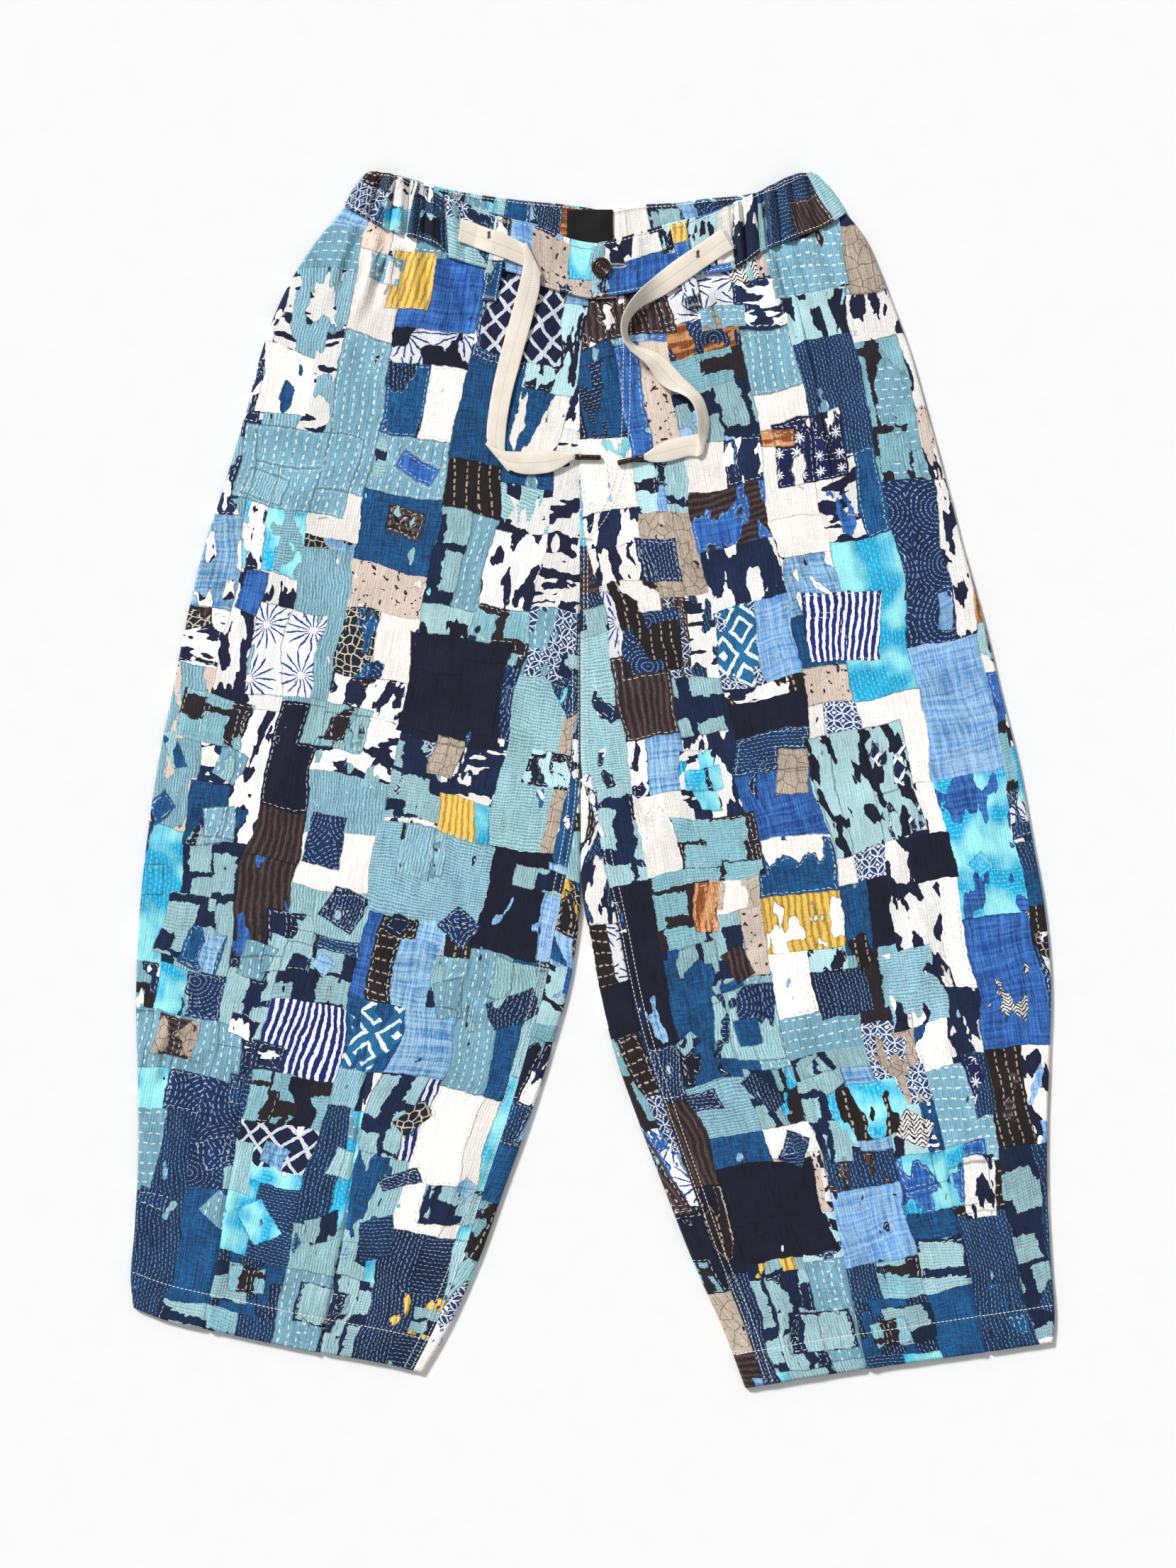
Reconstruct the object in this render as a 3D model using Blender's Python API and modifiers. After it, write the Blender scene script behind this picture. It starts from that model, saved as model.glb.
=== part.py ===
"""Cropped barrel-leg trousers with a gathered waist, laid flat with the front up.

+X is to the right as the trousers are seen from above, +Y runs up to the waist and +Z is up.
Tables are in millimetres on the floor's plane, with x = 0 near the centre front. The floor is z = 0.
"""

import bpy
import numpy as np
from mathutils import Vector
from mathutils.bvhtree import BVHTree

MM = 0.001

# Driving sizes, in millimetres
CLOTH = 1.5  # wall of the printed cotton
BAND = 2.4  # waistband: two plies of the cotton with elastic between
GAP = 0.3  # between neighbouring pieces
LAP = 12.0  # how far the left front passes under the right front at the fly
BAND_FRONT_TOP = 7.6  # height of the front waistband's face over the floor
BAND_STEP = BAND + 0.5  # how much higher its right end lies, on the left one behind the button
LOOP_WIDTH = 12.3
LOOP_WALL = 1.6
TAPE_WALL = 0.8
AGLET_LENGTH = 20.5
AGLET_RADIUS = 2.1
BUTTON_RADIUS = 7.8
BUTTON_HEIGHT = 3.4
LABEL_WALL = 0.8
BOX_CENTRE = (1.0, -0.29)  # centre of the laid-out trousers in the tables' frame

EDGE_FLAT = 0.9  # straight part of each piece beside a seam on a folded edge
SEAM_EASE = {0.30: 0.8, 0.40: 0.3, 0.43: 0.5, 0.47: 0.3}  # extra space at the inseam where it turns
TUCK = 3.0  # how far the fronts' upper edges pass under the waistband
TUCK_SIDE = (0.15, 0.3)  # part of the row, from the outseam, over which the tuck grows
TUCK_CENTRE = (45, 70)  # and the same from the centre line of the right front, in mm
LAP_CLEAR = 0.65  # between the two plies of the fly
LAP_FADE = (24, 42)  # the lap comes down this far from its edge
SEAM_COLUMNS = (3.2, 1.8)  # last plain columns of a front before its inner seam
SEAM_LAST = 1.5  # last plain column of a back before the same seam

# Fractions of the way from waist to hem
CROTCH = 0.30
WAIST_FADE = 0.28  # the waist seam's curve dies out above the crotch
FLY_END = (0.17, 0.215)  # the underlap starts to narrow, and is gone
LAP_END = (0.22, 0.27)  # the right front starts to come down, and is down
LAP_LEVEL = 0.05  # above this the lap is level, as the waistband on it is

# Outlines, (x, y) in mm, from waist to hem or from the outer side to the centre
OUTSEAM = {
    "left": [(-195, 443.6), (-216, 418), (-240, 379), (-255, 342), (-270, 287), (-286, 232), (-304, 176),
             (-317, 121), (-328, 65), (-339, 10), (-347, -45), (-353, -101), (-356, -170), (-354.5, -240),
             (-354.5, -300), (-357, -350), (-360, -395), (-358, -413)],
    "right": [(197.5, 442.6), (212, 424), (224, 398), (235, 370), (245.5, 342), (261.5, 287), (276.5, 232),
              (291, 176), (306.5, 121), (320, 65), (333.5, 10), (343.5, -45), (353.5, -101), (358.5, -160),
              (357.5, -212), (355.7, -267), (355.7, -322), (358.4, -378), (361.2, -425), (360, -440)],
}
CENTRE_FRONT = [(-0.6, 373.6), (-5.5, 354), (-9.2, 330), (-9.4, 270), (-9.4, 190), (-9.4, 115)]
CENTRE_BACK = [(-0.6, 404), (-5.5, 375), (-9.2, 340), (-9.4, 270), (-9.4, 190), (-9.4, 115)]
INNER_LEG = {
    "left": [(-9.6, 115), (-9.8, 60), (-9.6, -23), (-8.8, -85), (-9.2, -106), (-12, -128), (-16.5, -156),
             (-31.6, -212), (-49, -267), (-69, -322), (-89, -378), (-114, -433), (-132, -464)],
    "right": [(-9.2, 115), (-9.0, 60), (-8.8, -23), (-8.0, -85), (-6.0, -103), (-2, -123), (4, -156),
              (17, -212), (36, -267), (57, -322), (79, -378), (103.6, -433), (119.7, -475.9)],
}
WAIST_SEAM = {
    "left": [(-195, 443.6), (-183.4, 440.9), (-170, 432.6), (-149.6, 423.7), (-129.6, 418.2), (-119.5, 413.5),
             (-112, 405.8), (-86, 398.2), (-54.3, 391.6), (-38.2, 383.3), (-19.4, 377.7), (-0.6, 373.6)],
    "right": [(197.5, 442.6), (191.1, 434.3), (181.7, 427.1), (165.6, 419.8), (146.8, 414.9), (131, 409.5),
              (114.7, 398.2), (82.5, 391), (43.8, 380.5), (16, 375.4), (-0.6, 373.6)],
}
BACK_WAIST_SEAM = {
    "left": [(-195, 443.6), (-165, 432.8), (-140, 423.1), (-108, 415.1), (-55, 407.2), (-0.6, 402.9)],
    "right": [(197.5, 442.6), (170, 428.6), (140, 416.5), (105, 409.7), (52, 403.3), (-0.6, 402.9)],
}
HEM = {
    "left": [(-358, -413), (-335, -422), (-291, -432), (-224, -446), (-158, -457.5), (-132, -464)],
    "right": [(360, -440), (318.6, -446), (252, -455.4), (185.6, -465), (119.7, -475.9)],
}
# How far the back rolls forward over the inner edge: mm below the crotch, mm of cloth
BACK_ROLL = {
    "left": [(0, 0), (95, 0), (112, 2.0), (140, 4.0), (165, 8), (210, 17), (240, 20), (320, 20), (420, 17),
             (520, 13.5), (600, 8)],
    "right": [(0, 0), (90, 0), (112, 2.6), (126, 5), (140, 11), (160, 16), (190, 21), (215, 25), (340, 26),
              (400, 24.5), (480, 21.5), (600, 16)],
}
# Height of the top ply over the floor
PROFILE = [
    # fraction from waist to hem, height at the side, height in the middle
    (0.0, 4.7, 4.7),
    (0.002, 4.8, 4.8),
    (0.009, 5.4, 6.5),
    (0.02, 5.8, 7.2),
    (0.06, 5.8, 7.3),
    (0.15, 5.4, 6.9),
    (0.30, 5.2, 6.6),
    (0.55, 5.2, 6.8),
    (0.80, 5.1, 6.3),
    (1.0, 5.0, 5.3),
]
PROFILE_AT, PROFILE_EDGE, PROFILE_CROWN = zip(*PROFILE)
SEAM_ROWS = 0.009  # the top ply stays flat above this fraction, where the waistband lies on it
LAP_CROWN = max(PROFILE_CROWN) + CLOTH + LAP_CLEAR  # height of the right front's lap at the waist
# Pocket mouths, as fractions from the outseam to the centre: at the waist, at the bartack
POCKET_MOUTH = {"left": (0.20, 0.300), "right": (0.285, 0.300)}
POCKET_END = 9  # row of the bartack; the rows above it are open
LIP_START = 3  # first row at which the mouth's edge lies over the hip
POCKET_LIP = 2.0  # overlap of the mouth's edge over the hip
POCKET_SLOT = 0.8  # clear width of the mouth just above the bartack
POCKET_STEP = CLOTH + 0.6  # height of the edge over the hip's cloth
# The largest folds of the front, in mm; a minus height is a trough
FOLDS = [
    # from x, from y, to x, to y, half width, height
    (-112, 402, -96, 330, 13, -2.0),
    (-131, 412, -128, 350, 12, 1.6),
    (-165, 425, -186, 350, 12, 1.4),
    (-60, 385, -70, 300, 15, 1.0),
    (142, 408, 163, 335, 12, -2.2),
    (120, 396, 132, 320, 12, 1.8),
    (165, 414, 186, 350, 12, 1.6),
    (181, 276, 234, 86, 14, 1.6),
    (95, 388, 88, 310, 14, 1.1),
    (-230, 60, -268, -60, 22, 1.2),
    (250, -20, 215, -120, 22, 1.0),
]
FOLD_START = (-0.12, 0.05)  # fractions of a fold's length over which it rises
FOLD_FADE = (0.45, 1.0)  # and dies out
FOLD_SIDES = (4, 30)  # folds grow over this distance from the outseam, in mm
FOLD_CENTRE = (0.93, 1.0)  # and die out over these fractions of the width, at the centre

# Rows and columns of the panels' cages
ROWS = [0, 0.002, 0.009, 0.02, 0.05, 0.085, 0.125, 0.17, 0.215, 0.255, 0.30, 0.35, 0.40, 0.43, 0.47, 0.54,
        0.61, 0.68, 0.75, 0.82, 0.88, 0.94, 1.0]
HIP_COLUMNS = [0.34, 0.68]  # between the outseam and the pocket mouth
FRONT_COLUMNS = [0.07, 0.14, 0.21, 0.28, 0.35, 0.42, 0.50, 0.58, 0.66, 0.74, 0.82, 0.89]
BACK_COLUMNS = [0.08, 0.2, 0.35, 0.5, 0.65, 0.8, 0.92]
BACK_TURN = (0.25, 0.5, 0.75, 1.0)  # between the floor and the seam, round the inner edge
BAND_COLUMNS = 12
ELASTIC_COLUMNS = 14
BACK_BAND_COLUMNS = 40
FOLD_ANGLES = (60, 30, 0, -30, -60)  # of the band's side folds, from the front ply to the floor, in degrees
LOOP_STEPS = 10
BUTTON_STEPS = 20

# Waistband, edges (x, y) in mm
BAND_FRONT = {
    "left": {
        "low": [(-111.8, 406.1), (-86, 398.5), (-54.3, 391.9), (-38.2, 383.6), (-19.4, 378), (-0.6, 373.9),
                (19.4, 374.5)],
        "high": [(-115.5, 455.3), (-95.8, 447.6), (-78.7, 441.5), (-62.6, 436.5), (-38.2, 430.6),
                 (-18.3, 421.5), (0, 417.7), (21.6, 417.9)],
    },
    "right": {
        "low": [(-0.6, 373.9), (16, 375.7), (43.8, 380.8), (82.5, 391.3), (114.7, 398.5), (131, 409.8)],
        "high": [(0.6, 417.7), (16.6, 419.9), (41, 427.1), (60.9, 433.2), (86.4, 439.2), (113.6, 450.4),
                 (128.2, 456.5)],
    },
}
BAND_ELASTIC = {
    "left": {
        "low": [(-112.3, 406.2), (-119.5, 413.8), (-129.6, 418.5), (-149.6, 424), (-170, 432.9),
                (-183.4, 441.2), (-190, 444.6)],
        "high": [(-116.1, 455.6), (-121.3, 458.7), (-134, 463.8), (-145.7, 467.6), (-158, 471.6),
                 (-166.5, 472.9)],
    },
    "back": {
        "low": [(-190, 444.6), (-165, 434.8), (-140, 424.8), (-108, 416.8), (-55, 408.8), (-0.6, 404.3),
                (52, 404.8), (105, 411.3), (140, 418.3), (170, 430.8), (192.5, 443.4)],
        "high": [(-166.5, 472.9), (-148, 470.3), (-121, 462), (-95, 457), (-55, 451.5), (-15, 447.6),
                 (11.6, 444), (38, 448), (65, 449.6), (91, 453), (118, 455.6), (145, 462.4), (158, 469),
                 (169.5, 472.9)],
    },
    "right": {
        "low": [(131.4, 410.2), (146.8, 415.2), (165.6, 420.1), (181.7, 427.4), (192.5, 443.4)],
        "high": [(128.8, 456.9), (144, 464.8), (158, 471), (169.5, 472.9)],
    },
}
BAND_STEP_FADE = (0.22, 0.36)  # fractions of the right front band over which its end comes down
FOLD_BULGE = 2.6  # the side folds' middle stands out from the line between their corners
FRONT_RIPPLE = 1.5  # gathers of the elastic at the front
BACK_RIPPLE = 0.9  # gathers along the floor at the back

# Belt loops: middle of the upper and of the lower end
LOOPS = {"left": ((-68.9, 437.2), (-80.3, 371.7)), "right": ((66.6, 432.6), (79.8, 365.6))}
LOOP_ARCH = 1.0
BUTTON_AT = (7.2, 397.8)
LABEL_AT = (-19.4, 409.5, 16.4, 444.0)  # low x, low y, high x, high y

# Tapes, a row for each section: its two edges a and b, and their lift over what lies below, in mm
TAPE_LEFT = [
    # a x, a y, b x, b y, lift a, lift b
    (-101.5, 435.8, -104.2, 418.4, 0.0, 0.0),
    (-94.0, 433.6, -97.5, 416.2, 0.0, 0.0),
    (-86.5, 430.6, -90.3, 413.3, 0.0, 0.0),
    (-77.5, 427.2, -81.5, 409.8, 0.0, 0.0),
    (-68.5, 423.8, -71.0, 406.0, 0.0, 0.0),
    (-60.0, 420.4, -59.0, 401.4, 0.0, 0.0),
    (-55.0, 417.6, -45.5, 395.5, 0.0, 0.0),
    (-52.4, 416.8, -40.4, 392.0, 0.15, 0.15),
    (-51.2, 417.4, -39.0, 392.7, 1.2, 1.2),
    (-52.4, 416.0, -40.2, 391.2, 2.4, 2.4),
    (-53.2, 411.5, -40.4, 387.5, 3.3, 2.7),
    (-53.0, 402.0, -40.8, 381.5, 3.6, 2.6),
    (-54.8, 391.0, -42.2, 374.5, 3.2, 1.4),
    (-57.4, 380.8, -44.6, 365.8, 1.2, 0.0),
    (-62.6, 362.0, -47.4, 354.6, 0.0, 0.0),
    (-67.6, 343.8, -51.6, 339.6, 0.0, 0.0),
    (-72.6, 325.0, -56.6, 321.2, 0.0, 0.4),
    (-76.6, 307.8, -61.2, 304.4, 0.0, 1.0),
    (-79.6, 290.8, -64.8, 287.4, 0.0, 0.9),
    (-81.6, 275.6, -67.0, 271.6, 0.0, 0.3),
    (-82.0, 266.0, -67.4, 252.0, 0.0, 0.0),
    (-82.0, 261.8, -64.2, 240.4, 0.1, 0.1),
    (-83.0, 260.4, -65.2, 239.0, 1.1, 1.1),
    (-81.6, 261.0, -63.4, 239.9, 2.1, 2.1),
    (-78.4, 258.6, -59.6, 238.4, 2.4, 2.4),
    (-70.0, 255.2, -55.5, 237.4, 2.4, 1.4),
    (-57.5, 254.4, -48.2, 236.9, 1.4, 0.4),
    (-44.0, 254.7, -39.5, 237.4, 0.0, 0.0),
    (-33.0, 255.0, -31.0, 239.0, 0.2, 0.2),
    (-24.5, 254.6, -23.0, 242.9, 0.0, 0.0),
    (-17.8, 253.2, -17.4, 246.6, 0.0, 0.0),
    (-13.9, 252.1, -13.8, 248.7, 0.0, 0.0),
]
TAPE_RIGHT = [
    # a x, a y, b x, b y, lift a, lift b
    (100.8, 428.2, 110.4, 412.4, 0.0, 0.0),
    (94.0, 423.4, 103.0, 408.0, 0.0, 0.0),
    (86.5, 418.0, 94.8, 402.6, 0.0, 0.0),
    (78.4, 412.6, 86.4, 396.8, 0.0, 0.0),
    (69.6, 406.6, 77.0, 390.0, 0.0, 0.0),
    (60.4, 400.0, 66.4, 382.8, 0.6, 0.0),
    (51.8, 393.2, 55.8, 376.2, 2.4, 0.0),
    (43.4, 385.8, 46.2, 371.4, 5.6, 0.0),
    (35.6, 377.6, 38.2, 367.0, 9.6, 0.0),
    (28.6, 368.2, 32.4, 361.6, 13.0, 0.0),
    (23.8, 358.0, 28.6, 355.0, 14.4, 0.0),
    (22.6, 348.2, 27.8, 348.0, 14.6, 0.0),
    (24.8, 339.6, 29.6, 342.0, 14.4, 0.0),
    (29.6, 332.6, 34.6, 337.4, 13.6, 0.0),
    (35.8, 327.2, 42.4, 334.6, 11.8, 0.0),
    (42.2, 321.6, 51.0, 331.4, 9.4, 0.0),
    (47.4, 314.4, 59.2, 325.4, 6.8, 0.0),
    (53.0, 307.4, 66.0, 318.0, 5.0, 0.0),
    (60.6, 302.2, 72.6, 310.8, 5.4, 0.0),
    (68.8, 299.0, 79.6, 304.2, 7.4, 0.0),
    (75.6, 294.6, 86.2, 296.6, 9.4, 0.0),
    (80.0, 287.2, 90.0, 286.4, 10.6, 0.4),
    (81.8, 277.4, 91.4, 275.2, 9.8, 1.0),
    (82.4, 269.0, 88.8, 262.4, 6.6, 1.6),
    (83.2, 266.4, 84.8, 251.6, 3.9, 2.2),
    (84.0, 268.6, 82.0, 250.6, 2.2, 2.2),
    (85.2, 269.4, 83.1, 250.0, 1.1, 1.1),
    (84.0, 268.8, 81.6, 250.6, 0.0, 0.0),
    (78.6, 267.6, 76.4, 251.2, 0.0, 0.0),
    (69.0, 265.8, 68.2, 249.2, 0.0, 0.0),
    (59.2, 263.0, 59.6, 247.0, 0.0, 0.0),
    (50.6, 259.0, 51.2, 246.2, 0.0, 0.0),
    (44.6, 254.8, 45.2, 246.8, 0.0, 0.0),
    (40.5, 251.9, 40.6, 248.5, 0.0, 0.0),
]
TAPE_CLIMB = (7, 2)  # sections before a tape's end between which it climbs to its aglet
# Start of each aglet's axis, and its direction
AGLETS = {"left": ((-13.4, 250.4), (1.0, -0.03)), "right": ((39.9, 250.1), (-0.976, -0.218))}

COLOURS = {
    "front_left": ((0.10, 0.17, 0.27), 0.85),
    "front_right": ((0.12, 0.20, 0.30), 0.85),
    "back_left": ((0.08, 0.14, 0.24), 0.85),
    "back_right": ((0.09, 0.16, 0.26), 0.85),
    "band_back": ((0.05, 0.06, 0.09), 0.85),
    "band_front_left": ((0.16, 0.30, 0.33), 0.85),
    "band_front_right": ((0.06, 0.08, 0.13), 0.85),
    "belt_loop_left": ((0.28, 0.21, 0.17), 0.85),
    "belt_loop_right": ((0.10, 0.16, 0.22), 0.85),
    "label": ((0.01, 0.01, 0.012), 0.6),
    "button": ((0.05, 0.022, 0.016), 0.3),
    "tape_left": ((0.72, 0.62, 0.48), 0.9),
    "tape_right": ((0.72, 0.62, 0.48), 0.9),
    "aglet_left": ((0.09, 0.075, 0.07), 0.4),
    "aglet_right": ((0.09, 0.075, 0.07), 0.4),
}


def clear_scene():
    for old in list(bpy.data.objects):
        bpy.data.objects.remove(old, do_unlink=True)


def material(name):
    colour, roughness = COLOURS[name]
    made = bpy.data.materials.new(name)
    made.use_nodes = True
    shader = made.node_tree.nodes["Principled BSDF"]
    shader.inputs["Base Color"].default_value = (*colour, 1)
    shader.inputs["Roughness"].default_value = roughness
    shader.inputs["Metallic"].default_value = 0.9 if name.startswith("aglet") else 0.0
    return made


def place(x, y, z):
    """A point of the tables' frame, in mm, as metres in the part's frame."""
    return ((x - BOX_CENTRE[0]) * MM, (y - BOX_CENTRE[1]) * MM, z * MM)


def add_object(name, mesh):
    made = bpy.data.objects.new(name, mesh)
    made.data.materials.append(material(name))
    PARTS.objects.link(made)
    return made


def add_wall(name, points, faces, wall, offset=-1.0):
    """An open surface given its wall by Solidify: offset -1 grows it to the back, 0 to both sides."""
    mesh = bpy.data.meshes.new(name)
    mesh.from_pydata([place(*point) for point in points], [], faces)
    mesh.update()
    made = add_object(name, mesh)
    thick = made.modifiers.new("wall", "SOLIDIFY")
    thick.thickness = wall * MM
    thick.offset = offset
    thick.use_even_offset = True
    return made


def curve(points):
    """A smooth curve through points; the function returned takes fractions of its length."""
    knots = np.array(points, float)
    steps = np.linalg.norm(np.diff(knots, axis=0), axis=1)
    at = np.concatenate([[0], np.cumsum(steps)])
    slopes = np.gradient(knots, at, axis=0)

    def point(fraction):
        s = np.clip(fraction, 0, 1) * at[-1]
        i = min(int(np.searchsorted(at, s, side="right")) - 1, len(at) - 2)
        h = at[i + 1] - at[i]
        t = (s - at[i]) / h
        ends = (2 * t**3 - 3 * t**2 + 1) * knots[i] + (3 * t**2 - 2 * t**3) * knots[i + 1]
        return ends + h * ((t**3 - 2 * t**2 + t) * slopes[i] + (t**3 - t**2) * slopes[i + 1])

    return point


def smooth(value, low, high):
    t = np.clip((value - low) / (high - low), 0, 1)
    return t * t * (3 - 2 * t)


def fold_height(x, y):
    """Sum of the largest folds at a point of the top ply, in mm."""
    total = 0.0
    for x0, y0, x1, y1, half, height in FOLDS:
        run = np.array([x1 - x0, y1 - y0])
        length = np.hypot(*run)
        along = ((x - x0) * run[0] + (y - y0) * run[1]) / length
        across = abs((x - x0) * run[1] - (y - y0) * run[0]) / length
        t = along / length
        if across < half:
            shape = np.cos(np.pi / 2 * across / half) ** 2
            total += height * shape * smooth(t, *FOLD_START) * (1 - smooth(t, *FOLD_FADE))
    return total


class Leg:
    """One half of the trousers: where its rows lie on the floor and how high its top ply is."""

    def __init__(self, side, waist, centre):
        self.side = side
        self.outer = curve(OUTSEAM[side])
        self.rise = curve(centre)
        self.inner_leg = curve(INNER_LEG[side])
        self.waist = curve(waist)
        self.hem = curve(HEM[side])

    def inner(self, v):
        if v < CROTCH:
            return self.rise(v / CROTCH)
        return self.inner_leg((v - CROTCH) / (1 - CROTCH))

    def bow(self, line, u):
        if u > 1:
            return 0.0
        return line(u) - (1 - u) * line(0) - u * line(1)

    def at(self, u, v):
        """Point at fraction u from outseam to centre and v from waist to hem."""
        straight = (1 - u) * self.outer(v) + u * self.inner(v)
        fade = max(0.0, 1 - v / WAIST_FADE) ** 2
        return straight + fade * self.bow(self.waist, u) + v**3 * self.bow(self.hem, u)

    def width(self, v):
        return float(np.linalg.norm(self.at(1, v) - self.at(0, v)))

    def edge(self, v):
        return float(np.interp(v, PROFILE_AT, PROFILE_EDGE))

    def top(self, u, v):
        """Height of the top ply's face, rounded down at the outseam and at the inner edge."""
        edge = self.edge(v)
        crown = float(np.interp(v, PROFILE_AT, PROFILE_CROWN))
        x, y = self.at(min(u, 1.0), v)
        height = edge + (crown - edge) * (1 - (2 * min(max(u, 0), 1) - 1) ** 4)
        inside = smooth(u * self.width(v), *FOLD_SIDES) * (1 - smooth(u, *FOLD_CENTRE))
        height += fold_height(x, y) * inside * smooth(v, 0, 2 * SEAM_ROWS)
        radius = edge / 2
        to_edge = u * self.width(v)
        if v > CROTCH - 0.001:
            to_edge = min(to_edge, (1 - u) * self.width(v))
        if to_edge < radius:
            height = radius + np.sqrt(max(0.0, radius**2 - (radius - to_edge) ** 2))
        return height

    def roll(self, v):
        """How far the back comes round onto the front, measured on the cloth from the inner edge."""
        down = self.inner_leg(0)[1] - self.inner(v)[1]
        rows = BACK_ROLL[self.side]
        return float(np.interp(down, [row[0] for row in rows], [row[1] for row in rows]))

    def outer_edge(self, v, face):
        """The half of the outseam's fold on one face of the leg: 1 for the front, -1 for the back."""
        radius = self.edge(v) / 2
        start = self.at(0, v)
        points = [(*start, radius + face * GAP / 2), (*start, radius + face * EDGE_FLAT)]
        for angle in np.radians((55, 90)):
            u = radius * (1 - np.cos(angle)) / self.width(v)
            points.append((*self.at(u, v), radius + face * radius * np.sin(angle)))
        return points

    def from_inner(self, along, v):
        """Point reached by going a length along the cloth from the inner edge, up over the top ply."""
        radius = self.edge(v) / 2
        quarter = radius * np.pi / 2
        if along <= quarter:
            back = radius * (1 - np.cos(along / radius))
            height = radius * (1 + np.sin(along / radius))
        else:
            back = radius + along - quarter
            height = self.top(1 - back / self.width(v), v)
        x, y = self.at(1 - back / self.width(v), v)
        return x, y, height

    def beside_seam(self, along, away, v):
        """Point beside a seam that is `along` from the inner edge, straight off it by `away`."""
        radius = self.edge(v) / 2
        if along > radius * np.pi / 2 or v < CROTCH:
            return self.from_inner(along + away, v)
        angle = along / radius
        back = radius * (1 - np.cos(angle)) + away * np.sin(angle)
        x, y = self.at(1 - back / self.width(v), v)
        return x, y, radius * (1 + np.sin(angle)) + away * np.cos(angle)


def front_row(leg, row, v):
    """One row of a front, from the outseam to the centre or inseam, and whether the mouth is open there."""
    radius = leg.edge(v) / 2
    width = leg.width(v)
    points = leg.outer_edge(v, 1)
    mouth_now = np.interp(v, [0, ROWS[POCKET_END]], POCKET_MOUTH[leg.side])
    start = radius / width
    for part in HIP_COLUMNS:
        u = start + part * (mouth_now - start)
        points.append((*leg.at(u, v), leg.top(u, v)))
    open_here = row < POCKET_END
    mouth = [(mouth_now, 0.0)]
    if open_here:
        under = POCKET_LIP if LIP_START <= row < POCKET_END - 1 else -POCKET_SLOT
        lift = POCKET_STEP / 2 if row >= LIP_START - 1 else 0.0
        mouth = [(mouth_now + under / width, -lift), (mouth_now, lift)]
    for u, rise in mouth:
        points.append((*leg.at(u, v), leg.top(u, v) + rise))
    seam = leg.roll(v) + SEAM_EASE.get(v, 0.0) if v >= CROTCH else 0.0
    if leg.side == "left" and v < CROTCH:
        seam = -LAP * (1 - smooth(v, *FLY_END))
    quarter = radius * np.pi / 2 if v >= CROTCH else 0.0
    outer, inner = SEAM_COLUMNS
    tail = [max(quarter, seam + outer), seam + max(0.5 * (quarter - seam), inner)]
    ends = [end_point(leg, seam, EDGE_FLAT, v), end_point(leg, seam, GAP / 2, v)]
    reach = 1 - tail[0] / width
    for part in FRONT_COLUMNS:
        u = mouth_now + part * (reach - mouth_now)
        points.append((*leg.at(u, v), leg.top(u, v)))
    points += [end_point(leg, along, 0, v) for along in tail] + ends
    if leg.side == "right":
        points = [lapped(leg, point, v) for point in points]
    if row == 0:
        points = [tucked(leg, k / len(points), point) for k, point in enumerate(points)]
    return points, open_here


def end_point(leg, seam, away, v):
    """Point of a front near its inner seam, or near its centre front above the crotch."""
    if v >= CROTCH:
        return leg.beside_seam(seam, away, v)
    u = 1 - (seam + away) / leg.width(v)
    return *leg.at(u, v), leg.top(u, v)


def lapped(leg, point, v):
    """A point of the right front raised where it laps over the left one."""
    x, y, height = point
    lap = (1 - smooth(abs(x - leg.at(1, v)[0]), *LAP_FADE)) * (1 - smooth(v, *LAP_END))
    goal = height + CLOTH + LAP_CLEAR
    if v < LAP_LEVEL:
        goal = max(LAP_CROWN, goal)
    return x, y, height + lap * (goal - height)


def tucked(leg, part, point):
    """A point of the waist row taken under the waistband, but for the side fold and the fly's lap."""
    amount = smooth(part, *TUCK_SIDE)
    if leg.side == "right":
        amount *= smooth(abs(point[0]), *TUCK_CENTRE)
    return point[0], point[1] + TUCK * amount, point[2]


def flip_for(side, face):
    return face if side == "left" else face[::-1]


def make_front(side):
    leg = Leg(side, WAIST_SEAM[side], CENTRE_FRONT)
    points = []
    index = []
    for row, v in enumerate(ROWS):
        made, open_here = front_row(leg, row, v)
        ids = list(range(len(points), len(points) + len(made)))
        points += made
        split = 4 + len(HIP_COLUMNS)
        hip = ids[: split + 1]
        body = ids[split + 1 :] if open_here else ids[split:]
        index.append((hip, [ids[split + 1]] + body[1:] if open_here else body))
    faces = []
    for (hip0, body0), (hip1, body1) in zip(index, index[1:]):
        for upper, lower in ((hip0, hip1), (body0, body1)):
            for k in range(len(upper) - 1):
                faces.append(flip_for(side, (upper[k], lower[k], lower[k + 1], upper[k + 1])))
    return add_wall(f"front_{side}", points, faces, CLOTH)


def back_row(leg, v):
    """One row of a back: under the outseam, along the floor, and below the crotch round the inner edge."""
    radius = leg.edge(v) / 2
    width = leg.width(v)
    points = leg.outer_edge(v, -1)
    closed = v > CROTCH - 0.001
    first = radius / width
    last = 1 - (radius if closed else GAP / 2) / width
    for part in BACK_COLUMNS + [1.0]:
        points.append((*leg.at(first + part * (last - first), v), 0.0))
    if not closed:
        return points, []
    quarter = radius * np.pi / 2
    seam = leg.roll(v)
    end = seam - SEAM_LAST
    turned = min(quarter, -quarter + (quarter + end) * 4 / 5)
    around = [leg.from_inner(-quarter + part * (turned + quarter), v) for part in BACK_TURN]
    around += [leg.from_inner(end, v)]
    around += [leg.beside_seam(seam, -EDGE_FLAT, v), leg.beside_seam(seam, -GAP / 2, v)]
    return points, around


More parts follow.
